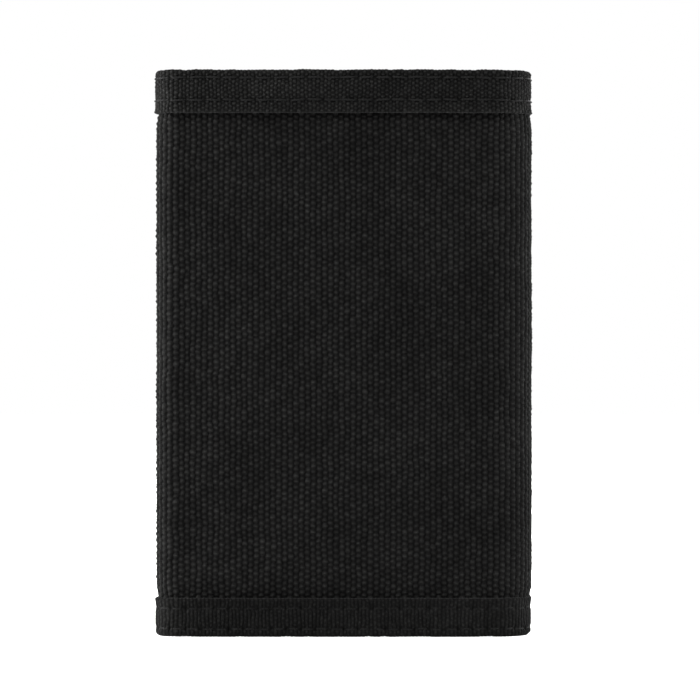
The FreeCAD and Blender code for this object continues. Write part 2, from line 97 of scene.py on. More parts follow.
WEB = CENTRE_LOW.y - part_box("centre_top_binding")[0].y
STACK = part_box("centre_bottom_binding")[1].y - WEB - FACE
LINING_LOW, LINING_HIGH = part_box("centre_lining")
LINING_FACE, FOLD_STACK = LINING_LOW.y - FACE, LINING_HIGH.y - FACE
WALL_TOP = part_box("centre_lining_binding")[1].z
CREASES = {joint["name"]: joint["pos_m"] for joint in frame["joints"]}
SPINE_MIDDLE = (CREASES["outer_fold_front_crease"][1] + CREASES["outer_fold_rear_crease"][1]) / 2
SPINE_FLAT = 2 * (SPINE_MIDDLE - FACE - OUTER_RADIUS)

COLUMN = 1.28 * MM            # one warp yarn of the canvas
WEFT = 0.67 * MM              # one weft yarn of the canvas
TAPE_COLUMN = COLUMN * 2 / 3  # one warp yarn of the binding tape
TAPE_WEFT = 0.50 * MM
SAMPLES = 4                   # mesh points over one yarn
CANVAS_STEP, TAPE_STEP = 2 * WEFT / SAMPLES, 2 * TAPE_WEFT / SAMPLES
SUNK = 0.03 * MM              # how far a zone's last column lies under its neighbour
PLAIN_DIP, RIB_DIP = 0.32, 0.7  # the weft between two crowns, as a share of their height


def cloth_point(run, depth, height):
    """Place of a point given along the cloth.

    Straight, half circle, straight, quarter circle, straight: the point is the sum of
    what each stretch adds, and depth goes along the heading turned a quarter turn.
    """
    inner = np.clip(-run / INNER_RADIUS, 0, math.pi)
    outer = np.clip((run - CENTRE_LENGTH) / OUTER_RADIUS, 0, math.pi / 2)
    heading = outer - inner
    x = LEFT + np.clip(run, 0, CENTRE_LENGTH) + np.maximum(-run - INNER_TURN, 0)
    x = x + OUTER_RADIUS * np.sin(outer) - INNER_RADIUS * np.sin(inner)
    y = FACE + OUTER_RADIUS * (1 - np.cos(outer)) + INNER_RADIUS * (1 - np.cos(inner))
    y = y + np.maximum(run - CENTRE_LENGTH - OUTER_TURN, 0)
    x = x - depth * np.sin(heading)
    y = y + depth * np.cos(heading)
    return np.stack(np.broadcast_arrays(x, y, height), axis=-1)


def yarn_floor(run):
    """The last column border at or below a run."""
    return math.floor(run / COLUMN + 1e-6) * COLUMN


ZONES = {
    "inner_flap": (INNER_END, yarn_floor(-INNER_TURN)),
    "inner_fold_rear": (yarn_floor(-INNER_TURN), yarn_floor(-INNER_TURN / 2)),
    "inner_fold_front": (yarn_floor(-INNER_TURN / 2), 0.0),
    "centre": (0.0, yarn_floor(CENTRE_LENGTH)),
    "outer_fold_front": (yarn_floor(CENTRE_LENGTH),
                         yarn_floor(CENTRE_LENGTH + OUTER_TURN + SPINE_FLAT / 2)),
    "outer_fold_rear": (yarn_floor(CENTRE_LENGTH + OUTER_TURN + SPINE_FLAT / 2),
                        yarn_floor(OUTER_START) + COLUMN),
    "outer_flap": (yarn_floor(OUTER_START) + COLUMN, OUTER_END),
}


def attach(piece, zone):
    """A leaf's cloth rides on its body; a fold's cloth stays where it is made, its place baked into
    its mesh.
    """
    if zone == "inner_fold_front":
        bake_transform(piece)
    elif zone == "inner_fold_rear":
        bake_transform(piece)
    elif zone == "outer_fold_front":
        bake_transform(piece)
    elif zone == "outer_fold_rear":
        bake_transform(piece)
    else:
        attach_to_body(piece, zone)


def stands_for(zone, layer):
    """The piece replaces the frame's node of its zone and layer."""
    node = zone.replace("_front", "").replace("_rear", "")
    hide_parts(node + "_" + layer)


# ------------------------------------------------------------------ meshes
def lattice(rows, columns, closed_rows=False):
    """Faces of a grid of points whose columns run round a ring; closed_rows joins the rows too."""
    index = np.arange(rows * columns).reshape(rows, columns)
    index = np.hstack([index, index[:, :1]])
    if closed_rows:
        index = np.vstack([index, index[:1]])
    return np.stack([index[:-1, :-1], index[1:, :-1], index[1:, 1:], index[:-1, 1:]],
                    axis=-1).reshape(-1, 4)


def volume_of(points, faces):
    """Six times the signed volume: positive where the faces point outwards."""
    corner = points[faces[:, 0]]
    total = 0.0
    for second in range(1, faces.shape[1] - 1):
        turned = np.cross(points[faces[:, second]], points[faces[:, second + 1]])
        total += float(np.sum(corner * turned))
    return total


def make_piece(name, points, quads, caps, uv, material):
    """A closed mesh from its points, four-sided faces, end caps (one row each) and UV corners."""
    if volume_of(points, quads) + volume_of(points, caps) < 0:
        quads, uv, caps = quads[:, ::-1], uv[:, ::-1], caps[:, ::-1]
    mesh = bpy.data.meshes.new(name)
    mesh.vertices.add(len(points))
    mesh.vertices.foreach_set("co", points.astype(np.float32).ravel())
    corners = np.concatenate([quads.ravel(), caps.ravel()]).astype(np.int32)
    sizes = np.concatenate([np.full(len(quads), 4), np.full(len(caps), caps.shape[1])])
    starts = np.concatenate([[0], np.cumsum(sizes)[:-1]]).astype(np.int32)
    mesh.loops.add(len(corners))
    mesh.loops.foreach_set("vertex_index", corners)
    mesh.polygons.add(len(sizes))
    mesh.polygons.foreach_set("loop_start", starts)
    mesh.polygons.foreach_set("use_smooth", np.arange(len(sizes)) < len(quads))
    layer = mesh.uv_layers.new(name="Cloth")
    flat = np.zeros((len(corners), 2), np.float32)
    flat[:quads.size] = uv.reshape(-1, 2)
    layer.data.foreach_set("uv", flat.ravel())
    mesh.update(calc_edges=True)
    mesh.validate()
    piece = bpy.data.objects.new(name, mesh)
    bpy.context.scene.collection.objects.link(piece)
    mesh.materials.append(material)
    return piece


def wrapped(name, points, u, v, v_close, material):
    """A closed tube from a grid of points (rows x ring), capped at its two ends.

    u and v are the pattern's coordinates of the points, v_close that of the ring's
    first point when it is reached again.
    """
    rows, ring = points.shape[:2]
    faces = lattice(rows, ring)
    table = np.stack([u, v], axis=-1).reshape(-1, 2)
    uv = table[faces]
    seam = np.tile(np.arange(ring) == ring - 1, rows - 1)
    uv[seam, 2:, 1] = v_close
    first = np.arange(ring)
    caps = np.stack([first, (rows - 1) * ring + first[::-1]])
    return make_piece(name, points.reshape(-1, 3), faces, caps, uv, material)


def tube_faces(count, length, around):
    """Faces and end caps of many tubes, each of length rings with around points."""
    step = length * around
    offsets = (np.arange(count) * step)[:, None, None]
    quads = (lattice(length, around)[None] + offsets).reshape(-1, 4)
    first = np.arange(around)
    caps = np.stack([first[::-1], step - around + first])
    return quads, (caps[None] + offsets).reshape(-1, around)


# ------------------------------------------------------------------ patterns of the cloth
def value_noise(a, b, cell, seed):
    """Smooth noise from -1 to 1: random numbers on a square lattice, blended between."""
    table = np.random.default_rng(seed).uniform(-1, 1, (64, 64))
    i, j = a / cell, b / cell
    i0, j0 = np.floor(i).astype(int), np.floor(j).astype(int)
    f, g = i - i0, j - j0
    f, g = f * f * (3 - 2 * f), g * g * (3 - 2 * g)
    low = table[i0 % 64, j0 % 64] * (1 - f) + table[(i0 + 1) % 64, j0 % 64] * f
    high = table[i0 % 64, (j0 + 1) % 64] * (1 - f) + table[(i0 + 1) % 64, (j0 + 1) % 64] * f
    return low * (1 - g) + high * g


def plain_weave(u, v, column, weft, seed, dip=PLAIN_DIP):
    """Height, 0 to 1, of a plain weave whose warp yarns stand up along v.

    Across a warp yarn the height is a flattened circle.  Along it, it rises and falls
    as a cosine with one crown for two wefts, and the next yarn is half a wave later.
    Between the crowns the weft shows as a bar, dip times as high.
    """
    table = np.random.default_rng(seed).uniform(0.35, 1.0, (89, 97))
    number = np.floor(u / column + 1e-7)
    across = u / column - number - 0.5
    along = v / (2 * weft) + 0.5 * (number % 2)
    crown = 0.5 + 0.5 * np.cos(2 * math.pi * along)
    size = table[number.astype(int) % 89, np.round(along).astype(int) % 97]
    arch = np.sqrt(np.clip(1 - 3.8 * across ** 2, 0, 1))
    return arch * (dip + (1 - dip) * size * crown)


def drift(run, height):
    """How far the yarns wander sideways and lengthwise from a perfect grid."""
    side = 0.16 * MM * value_noise(run, height, 4.1 * MM, 11)
    side = side + 0.13 * MM * value_noise(run, height, 1.3 * MM, 12)
    rise = 0.20 * MM * value_noise(run, height, 1.7 * MM, 13)
    return side, rise


def swell(run, height):
    """Slow unevenness of the cloth's face, and the front panel's soft crown between its folds."""
    def rise(distance):
        """Soft step from 0 to 1 at the panel's edge."""
        return 1 / (1 + np.exp(-(distance - 1 * MM) / (4 * MM)))
    crown = rise(run) * rise(CENTRE_LENGTH - run)
    return 0.16 * MM * value_noise(run, height, 17 * MM, 14) + 0.9 * MM * crown


def fold_bulge(run, height):
    """The cloth of a fold swells out between its bindings, most in the middle of the turn."""
    spread = 6.5 * MM
    on_inner = 0.62 * MM * np.exp(-((run + INNER_TURN / 2) / spread) ** 4)
    on_outer = 0.98 * MM * np.exp(-((run - CENTRE_LENGTH - OUTER_TURN) / (1.2 * spread)) ** 4)
    slack = 0.12 * MM * value_noise(run, height, 22 * MM, 15)
    return on_inner + on_outer + slack * (on_inner + on_outer) / MM


def tuck(height):
    """The cloth dips where it goes under a binding, more slowly under the upper one."""
    under = np.maximum(HEIGHT - BINDING - height, 0)
    over = np.maximum(height - BINDING, 0)
    return 0.60 * MM * np.exp(-under / (1.8 * MM)) + 0.40 * MM * np.exp(-over / (1.0 * MM))


def local_stack(run):
    """Depth of the stack of cloth: the leaves carry pockets, the folds between them don't."""
    edge = 1.0 * MM
    on_centre = np.clip(np.minimum(run, CENTRE_LENGTH - run) / edge, 0, 1)
    on_inner = np.clip((-INNER_TURN - run) / edge, 0, 1)
    on_outer = np.clip((run - OUTER_START) / edge, 0, 1)
    share = np.maximum(np.maximum(on_centre, on_inner), on_outer)
    return FOLD_STACK + (STACK - FOLD_STACK) * share * share * (3 - 2 * share)


def needle_beat(along, pitch):
    """1 at each needle hole of a seam and 0 between two."""
    return (0.5 + 0.5 * np.cos(2 * math.pi * (along / pitch + 0.5))) ** 6


# ------------------------------------------------------------------ cross-sections
def rounded_path(corners, radius, step):
    """Points, tangents and distance along straight runs joined by quarter circles."""
    corners = [np.asarray(c, float) for c in corners]
    line = [corners[0]]
    for before, corner, after in zip(corners, corners[1:], corners[2:]):
        back, on = before - corner, after - corner
        back, on = back / np.linalg.norm(back), on / np.linalg.norm(on)
        turn = np.linspace(0, math.pi / 2, 9)[:, None]
        line.extend(corner + radius * (back * (1 - np.sin(turn)) + on * (1 - np.cos(turn))))
    line = np.array(line + [corners[-1]])
    distance = np.concatenate([[0], np.cumsum(np.linalg.norm(np.diff(line, axis=0), axis=1))])
    count = max(2, round(distance[-1] / step) + 1)
    place = np.linspace(0, distance[-1], count)
    points = np.stack([np.interp(place, distance, line[:, k]) for k in (0, 1)], axis=1)
    tangent = np.gradient(points, axis=0)
    tangent /= np.linalg.norm(tangent, axis=1)[:, None]
    return points, tangent, place


def hook_section(low, high, edge, reach, radius, step):
    """Tape folded over an edge: columns are across, up, normal across, normal up, distance, gain.

    low and high are the depths of the cloth that it grips, edge the folded end and reach
    the end of both legs.  The outer line is fine and carries the weave; the inner line is
    its few corners.
    """
    side = 1 if reach > edge else -1
    outer = [(low - WEB, reach), (low - WEB, edge), (high + WEB, edge), (high + WEB, reach)]
    points, tangent, place = rounded_path(outer, radius, step)
    normal = np.stack([tangent[:, 1], -tangent[:, 0]], axis=1) * side
    outer_part = np.column_stack([points, normal, place, np.ones(len(place))])
    outer_part[[0, -1], 5] = 0
    inner = [(high, reach), (high, edge + side * WEB), (low, edge + side * WEB), (low, reach)]
    inner_part = np.array([[a, b, 0, 0, place[-1], 0] for a, b in inner])
    return np.vstack([outer_part, inner_part]), place[-1]


TAPE_PROUD = 0.22 * MM        # webbing fluffed up beyond its pressed thickness
TAPE_RISE = 0.6               # share of the canvas's lengthwise wander that the tape has


def tape_relief(u, section, total, rows, seed, dip=PLAIN_DIP):
    """How far the tape's face stands out: weave, thick selvages, and a trough along each seam."""
    place, gain = section[:, 4][None, :], section[:, 5][None, :]
    weave = plain_weave(u, np.broadcast_to(place, u.shape), TAPE_COLUMN, TAPE_WEFT, seed, dip)
    facing = section[:, 2][None, :] ** 2
    deep = (0.44 - 0.24 * dip) * MM
    out = (weave - 0.45) * deep * (0.35 + 0.65 * facing) + TAPE_PROUD * facing
    from_edge = np.minimum(place, total - place)
    out = out + 0.16 * MM * np.exp(-((from_edge - 0.45 * MM) / (0.4 * MM)) ** 2)
    for row, pitch, sink in rows:
        near = np.exp(-((from_edge - row) / (0.55 * MM)) ** 2)
        out = out - near * sink * (0.55 + 0.75 * needle_beat(u, pitch))
    return out * gain


# ------------------------------------------------------------------ shader tools
class Net:
    """Wires shader nodes in one tree; each call adds a node and returns its output."""

    def __init__(self, tree):
        self.tree = tree

    def add(self, kind, values=(), **settings):
        """A node with its settings, then its sockets' values or wires."""
        node = self.tree.nodes.new(kind)
        for key, value in settings.items():
            setattr(node, key, value)
        for socket, value in dict(values).items():
            self.feed(node.inputs[socket], value)
        return node

    def feed(self, socket, value):
        """Wires a socket to an output, or sets its value."""
        if isinstance(value, bpy.types.NodeSocket):
            self.tree.links.new(value, socket)
        else:
            socket.default_value = value

    def math(self, operation, *values):
        """Result of a sum on numbers or outputs."""
        node = self.add("ShaderNodeMath", operation=operation)
        for socket, value in zip(node.inputs, values):
            self.feed(socket, value)
        return node.outputs[0]

    def noise(self, vector, scale, detail=2.0, roughness=0.5):
        """Cloudy noise from 0 to 1."""
        values = {"Vector": vector, "Scale": scale, "Detail": detail, "Roughness": roughness}
        return self.add("ShaderNodeTexNoise", values).outputs["Fac"]

    def between(self, factor, low, high):
        """Colour between two grey levels or colours."""
        node = self.add("ShaderNodeMix", {0: factor}, data_type="RGBA")
        for socket, value in ((node.inputs[6], low), (node.inputs[7], high)):
            self.feed(socket, value)
        return node.outputs[2]

    def ramp(self, value, low, high, first=0.0, last=1.0):
        """A value's place between low and high, spread from first to last."""
        values = {"Value": value, "From Min": low, "From Max": high, "To Min": first,
                  "To Max": last}
        return self.add("ShaderNodeMapRange", values).outputs[0]

    def bump(self, shader, strength, distance, height):
        """Fine relief in a shader's normal."""
        values = {"Strength": strength, "Distance": distance, "Height": height}
        self.feed(shader.inputs["Normal"], self.add("ShaderNodeBump", values).outputs[0])


def group_tree(name, inputs, outputs):
    """A shader group with named sockets; inputs are (name, type, default)."""
    tree = bpy.data.node_groups.new(name, "ShaderNodeTree")
    for label, kind, default in inputs:
        socket = tree.interface.new_socket(label, in_out="INPUT", socket_type=kind)
        if default is not None:
            socket.default_value = default
    for label in outputs:
        tree.interface.new_socket(label, in_out="OUTPUT", socket_type="NodeSocketFloat")
    net = Net(tree)
    return tree, net, net.add("NodeGroupInput").outputs, net.add("NodeGroupOutput").inputs


def woven_group():
    """Plain weave: Height of the yarns with their twist, Crown mask, Fuzz of loose fibres, and
    Each, a chance number for every crossing of the yarns.

    The formula of plain_weave, with diagonal plies and fibre noise on top.
    """
    tree, net, given, out = group_tree("woven_yarns", [
        ("Pattern", "NodeSocketVector", None), ("Place", "NodeSocketVector", None),
        ("Column", "NodeSocketFloat", COLUMN), ("Weft", "NodeSocketFloat", WEFT),
        ("Plies", "NodeSocketFloat", 3.0), ("Fibres", "NodeSocketFloat", 4800.0),
        ("Dip", "NodeSocketFloat", PLAIN_DIP)],
        ["Height", "Crown", "Fuzz", "Each"])
    split = net.add("ShaderNodeSeparateXYZ", {0: given["Pattern"]}).outputs
    u = net.math("DIVIDE", split[0], given["Column"])
    number = net.math("FLOOR", net.math("ADD", u, 1e-4))
    across = net.math("SUBTRACT", net.math("SUBTRACT", u, number), 0.5)
    wave = net.math("DIVIDE", split[1], net.math("MULTIPLY", given["Weft"], 2.0))
    odd = net.math("MULTIPLY", net.math("FLOORED_MODULO", number, 2.0), 0.5)
    along = net.math("ADD", wave, odd)
    turn = net.math("COSINE", net.math("MULTIPLY", along, 2 * math.pi))
    crown = net.math("MULTIPLY_ADD", turn, 0.5, 0.5)
    square = net.math("MULTIPLY", across, across)
    arch = net.math("SQRT", net.math("MAXIMUM", net.math("MULTIPLY_ADD", square, -3.9, 1.0), 0.0))
    rest = net.math("SUBTRACT", 1.0, given["Dip"])
    weave = net.math("MULTIPLY", arch, net.math("MULTIPLY_ADD", crown, rest, given["Dip"]))
    slope = net.math("MULTIPLY_ADD", across, 0.9, along)
    plies = net.math("MULTIPLY", given["Plies"], 2 * math.pi)
    ply = net.math("SINE", net.math("MULTIPLY", slope, plies))
    fibre = net.noise(given["Place"], given["Fibres"], 3.0, 0.6)
    twisted = net.math("MULTIPLY_ADD", ply, 0.06, weave)
    height = net.math("ADD", twisted, net.math("MULTIPLY", fibre, 0.35))
    net.feed(out["Height"], height)
    net.feed(out["Crown"], weave)
    net.feed(out["Fuzz"], fibre)
    crossing = net.add("ShaderNodeCombineXYZ", {0: number, 1: net.math("ROUND", along)}).outputs[0]
    chance = net.add("ShaderNodeTexWhiteNoise", {"Vector": crossing}, noise_dimensions="3D")
    net.feed(out["Each"], chance.outputs["Value"])
    return tree


def wear_group():
    """Dust and rubbing: Patches are slow light and dark areas, Specks are rare pale dots."""
    tree, net, given, out = group_tree("dust_and_wear", [
        ("Place", "NodeSocketVector", None), ("Patch size", "NodeSocketFloat", 60.0),
        ("Speck size", "NodeSocketFloat", 2600.0)], ["Patches", "Specks"])
    net.feed(out["Patches"], net.noise(given["Place"], given["Patch size"], 4.0, 0.55))
    grain = net.noise(given["Place"], given["Speck size"], 1.0, 0.5)
    net.feed(out["Specks"], net.ramp(grain, 0.70, 0.82))
    return tree


WOVEN = woven_group()
WEAR = wear_group()


def new_material(name, constants):
    """A material with its net and its Principled shader, whose even values are set."""
    material = bpy.data.materials.new(name)
    material.use_nodes = True
    tree = material.node_tree
    tree.nodes.clear()
    net = Net(tree)
    shader = net.add("ShaderNodeBsdfPrincipled", constants)
    output = net.add("ShaderNodeOutputMaterial")
    tree.links.new(shader.outputs[0], output.inputs["Surface"])
    return material, net, shader


def grey(level):
    """A very slightly warm grey."""
    return (level, level, level * 0.97, 1.0)


def woven_cloth(name, dark, light, column, weft, plies, relief, rough, sheen=0.0, edge_highlight=0.0,
                dip=PLAIN_DIP):
    """Dyed cloth with painted shade between the yarns and painted highlights on their crowns, a
    little dusty.
    """
    material, net, shader = new_material(name, {
        "Specular IOR Level": 0.025, "Sheen Weight": sheen, "Sheen Roughness": 0.28})
    pattern = net.add("ShaderNodeUVMap", uv_map="Cloth").outputs[0]
    place = net.add("ShaderNodeTexCoord").outputs["Object"]
    values = {"Pattern": pattern, "Place": place, "Column": column, "Weft": weft,
              "Plies": plies, "Dip": dip}
    yarn = net.add("ShaderNodeGroup", values, node_tree=WOVEN).outputs
    wear = net.add("ShaderNodeGroup", {"Place": place}, node_tree=WEAR).outputs
    # painted shade darkens the gaps between the yarns, and a painted highlight brightens the top of
    # each crown
    body = net.ramp(yarn["Crown"], 0.05, 0.42)
    crown_highlight = net.math("POWER", yarn["Crown"], 8.0)
    level = net.math("MULTIPLY_ADD", crown_highlight, 0.55, net.math("MULTIPLY", body, 0.45))
    tone = net.between(level, grey(dark), grey(light))
    shade = net.math("MULTIPLY_ADD", wear["Patches"], 1.1, 0.45)
    fuzz = net.math("MULTIPLY_ADD", yarn["Fuzz"], 2.4, -0.2)
    each = net.math("MULTIPLY_ADD", yarn["Each"], 0.5, 0.75)
    shade = net.math("MULTIPLY", net.math("MULTIPLY", shade, fuzz), each)
    # painted highlight: a pale band along the woven edge of the tape
    if edge_highlight:
        from_edge = net.add("ShaderNodeSeparateXYZ", {0: pattern}).outputs[1]
        edge = net.ramp(from_edge, 0.8 * MM, 0.35 * MM)
        shade = net.math("MULTIPLY", shade, net.math("MULTIPLY_ADD", edge, edge_highlight, 1.0))
    toned = net.add("ShaderNodeVectorMath", {0: tone, "Scale": shade}, operation="SCALE")
    specks = net.math("MULTIPLY", wear["Specks"], 0.25)
    net.feed(shader.inputs["Base Color"], net.between(specks, toned.outputs[0], grey(0.06)))
    net.feed(shader.inputs["Roughness"], net.math("MULTIPLY_ADD", yarn["Fuzz"], 0.2, rough))
    net.bump(shader, 1.0, relief, yarn["Height"])
    return material


def spun_thread():
    """Bonded sewing thread: close diagonal plies and a soft gloss."""
    material, net, shader = new_material("sewing_thread", {
        "Roughness": 0.6, "Specular IOR Level": 0.10})
    uv = net.add("ShaderNodeUVMap", uv_map="Cloth").outputs[0]
    split = net.add("ShaderNodeSeparateXYZ", {0: uv}).outputs
    phase = net.math("ADD", net.math("MULTIPLY", split[0], 9000.0), split[1])
    ply = net.math("MULTIPLY_ADD", net.math("SINE", phase), 0.5, 0.5)
    net.feed(shader.inputs["Base Color"], net.between(ply, grey(0.0018), grey(0.0062)))
    net.bump(shader, 0.8, 0.05 * MM, ply)
    return material


def blackened_metal(name, tone, rough):
    """Painted zinc: fine orange peel, rubbed a little bare in patches."""
    material, net, shader = new_material(name, {"Metallic": 0.85})
    place = net.add("ShaderNodeTexCoord").outputs["Object"]
    values = {"Place": place, "Patch size": 420.0}
    patches = net.add("ShaderNodeGroup", values, node_tree=WEAR).outputs["Patches"]
    worn = net.ramp(patches, 0.55, 0.85)
    net.feed(shader.inputs["Base Color"], net.between(worn, grey(tone), grey(tone * 2.0)))
    net.feed(shader.inputs["Roughness"], net.math("MULTIPLY_ADD", patches, 0.25, rough))
    net.bump(shader, 0.35, 0.03 * MM, net.noise(place, 5200.0))
    return material


def clear_vinyl():
    """Soft clear film: see-through, with faint waves and scuffs."""
    material, net, shader = new_material("clear_vinyl", {
        "Base Color": (0.93, 0.95, 0.96, 1), "Transmission Weight": 1.0, "IOR": 1.33})
    place = net.add("ShaderNodeTexCoord").outputs["Object"]
    scuff = net.noise(place, 900.0, 3.0)
    net.feed(shader.inputs["Roughness"], net.math("MULTIPLY_ADD", scuff, 0.22, 0.04))
    net.bump(shader, 0.6, 0.5 * MM, net.noise(place, 45.0))
    return material


# name, tone of the painted shade between yarns, crown tone with painted highlight, column, weft,
# plies, relief, roughness, sheen, painted edge highlight, dip
CANVAS_CLOTH = woven_cloth("black_canvas", 0.0001, 0.0156, COLUMN, WEFT, 3.0, 0.32 * MM, 0.78,
                           0.055)
CANVAS_FINE = woven_cloth("black_fine_canvas", 0.003, 0.014, 0.7 * MM, 0.4 * MM, 2.0, 0.10 * MM,
                          0.75)
# the binding tape carries a painted highlight along its edge
TAPE_CLOTH = woven_cloth("black_tape", 0.0001, 0.0170, TAPE_COLUMN, TAPE_WEFT, 2.0, 0.24 * MM,
                         0.72, 0.05, 0.2)
RIBBED_TAPE = woven_cloth("black_ribbed_tape", 0.0003, 0.0100, TAPE_COLUMN, TAPE_WEFT, 2.0,
                          0.14 * MM, 0.72, 0.05, dip=RIB_DIP)
LINING_CLOTH = woven_cloth("black_lining", 0.006, 0.011, 0.34 * MM, 0.17 * MM, 1.0, 0.03 * MM,
                           0.5)
POCKET_CLOTH = woven_cloth("black_pocket_cloth", 0.006, 0.012, 0.45 * MM, 0.24 * MM, 1.0,
                           0.04 * MM, 0.6)
ZIP_CLOTH = woven_cloth("black_zip_tape", 0.005, 0.012, 0.5 * MM, 0.22 * MM, 1.0, 0.05 * MM, 0.6)
NAP_CLOTH = woven_cloth("black_nap", 0.004, 0.010, 0.9 * MM, 0.5 * MM, 2.0, 0.10 * MM, 0.85, 0.1)
HOOK_PLASTIC = woven_cloth("black_nylon_hook", 0.005, 0.010, 1.4 * MM, 0.7 * MM, 2.0, 0.05 * MM,
                           0.4)
THREAD = spun_thread()
ZINC = blackened_metal("blackened_zinc", 0.024, 0.34)
TOOTH_METAL = blackened_metal("blackened_teeth", 0.032, 0.32)
VINYL = clear_vinyl()


# ------------------------------------------------------------------ the cloth of each zone
def zone_runs(zone, step, margin=0.0):
    """Evenly spaced runs of a zone, and how far each is sunk.

    A zone starts and ends on the canvas's column borders, and reaches one step further,
    sunk under its neighbour, so that its shading runs on.  margin shortens free ends.
    """
    first, last = ZONES[zone]
    if zone == "inner_flap":
        first += margin
        inner = np.arange(last + step, first, -step)[::-1]
        runs = np.concatenate([[first], inner[inner > first + step / 4]])
    elif zone == "outer_flap":
        last -= margin
        inner = np.arange(first - step, last, step)
        runs = np.concatenate([inner[inner < last - step / 4], [last]])
    else:
        runs = np.linspace(first - step, last + step, round((last - first) / step) + 3)
    beyond = (runs < ZONES[zone][0] - step / 2) | (runs > ZONES[zone][1] + step / 2)
    return runs, SUNK * beyond[:, None]


def make_canvas(zone):
    """The main cloth: woven on its outer face between the bindings, plain under them."""
    runs, sunk = zone_runs(zone, COLUMN / SAMPLES, WEB)
    bottom, top = CENTRE_LOW.z, CENTRE_HIGH.z
    under = 1.2 * MM
    low = round((BINDING - under) / CANVAS_STEP)
    high = round((HEIGHT - BINDING + under) / CANVAS_STEP)
    face = np.arange(low, high + 1) * CANVAS_STEP
    heights = np.concatenate([[bottom], face, [top], [top, bottom]])
    gain = np.concatenate([[0], np.ones(len(face)), [0, 0, 0]])
    back = np.concatenate([np.zeros(len(face) + 2), [1, 1]])
    run, height = np.meshgrid(runs, heights, indexing="ij")
    weave = plain_weave(run, height, COLUMN, WEFT, 21)
    relief = (weave - 0.70) * 0.56 * MM + swell(run, height) + fold_bulge(run, height)
    relief = relief - tuck(height) - sunk
    depth = back * CANVAS - relief * gain
    side, rise = drift(run, height)
    points = cloth_point(run + side, depth, height + rise * gain)
    piece = wrapped(zone + "_canvas", points, run, height, heights[0], CANVAS_CLOTH)
    stands_for(zone, "shell")
    attach(piece, zone)


BOTTOM_TAPE = BINDING - 0.8 * MM  # height of the lower tape, pressed down a little
TOP_TAPE = BINDING + 0.2 * MM     # height of the upper tape
TOP_ROUND, BOTTOM_ROUND, LINING_ROUND, END_ROUND = 0.75 * MM, 1.3 * MM, 0.45 * MM, 0.9 * MM
# rows of stitches: distance from the tape's edge, pitch, how deep the thread pulls the tape in
TOP_ROWS = [(7.9 * MM, 3.8 * MM, 0.24 * MM), (2.9 * MM, 3.8 * MM, 0.30 * MM)]
BOTTOM_ROWS = [(6.9 * MM, 3.2 * MM, 0.46 * MM), (2.3 * MM, 3.2 * MM, 0.40 * MM)]
LINING_ROWS = [(2.6 * MM, 3.4 * MM, 0.15 * MM)]
END_ROWS = [(3.1 * MM, 3.2 * MM, 0.24 * MM), (7.7 * MM, 3.2 * MM, 0.24 * MM)]


def make_binding(zone, layer, low, high, edge, reach, radius, rows, varying):
    """Tape folded over the cloth's edge; a varying one follows the local depth of the stack."""
    section, total = hook_section(low, high, edge, reach, radius, TAPE_STEP)
    runs, sunk = zone_runs(zone, TAPE_COLUMN / SAMPLES)
    run = np.repeat(runs[:, None], len(section), axis=1)
    cloth, dip = (RIBBED_TAPE, RIB_DIP) if varying else (TAPE_CLOTH, PLAIN_DIP)
    out = tape_relief(run, section, total, rows, 31, dip) - sunk
    depth = section[:, 0] + section[:, 2] * out
    height = section[:, 1] + section[:, 3] * out
    if varying:
        full = high - low + 2 * WEB
        depth = (depth + WEB) * (local_stack(run) + 2 * WEB) / full - WEB
    woven = section[:, 5] > 0
    depth = depth - swell(run, height) * woven * (depth < CANVAS)
    side, rise = drift(run, height)
    points = cloth_point(run + side, depth, height + TAPE_RISE * rise * woven)
    v = np.broadcast_to(section[:, 4], run.shape)
    name = "%s_%s_tape" % (zone, layer.replace("_binding", ""))
    piece = wrapped(name, points, run, v, total, cloth)
    stands_for(zone, layer)
    attach(piece, zone)


def make_lining(zone):
    """The note pocket's smooth inner wall, with slow waves."""
    runs, sunk = zone_runs(zone, COLUMN, WEB)
    face = np.linspace(LINING_LOW.z, LINING_HIGH.z, 80)
    heights = np.concatenate([face, face[::-1]])
    depths = np.repeat([LINING_FACE, FOLD_STACK], len(face))
    run, height = np.meshgrid(runs, heights, indexing="ij")
    wave = (0.16 + 0.10 * value_noise(run, height, 9 * MM, 41)) * MM
    inward = np.sign(depths - (LINING_FACE + FOLD_STACK) / 2)
    points = cloth_point(run, depths[None, :] - wave - inward * sunk, height)
    piece = wrapped(zone + "_lining_cloth", points, run, height, heights[0], LINING_CLOTH)
    stands_for(zone, "lining")
    attach(piece, zone)


for zone in ZONES:
    make_canvas(zone)
    make_binding(zone, "top_binding", 0.0, CANVAS, HEIGHT, HEIGHT - TOP_TAPE, TOP_ROUND,
                 TOP_ROWS, False)
    make_binding(zone, "bottom_binding", 0.0, STACK, 0.0, BOTTOM_TAPE, BOTTOM_ROUND,
                 BOTTOM_ROWS, True)
    make_lining(zone)
    make_binding(zone, "lining_binding", LINING_FACE, FOLD_STACK, WALL_TOP, HEIGHT - BINDING,
                 LINING_ROUND, LINING_ROWS, False)


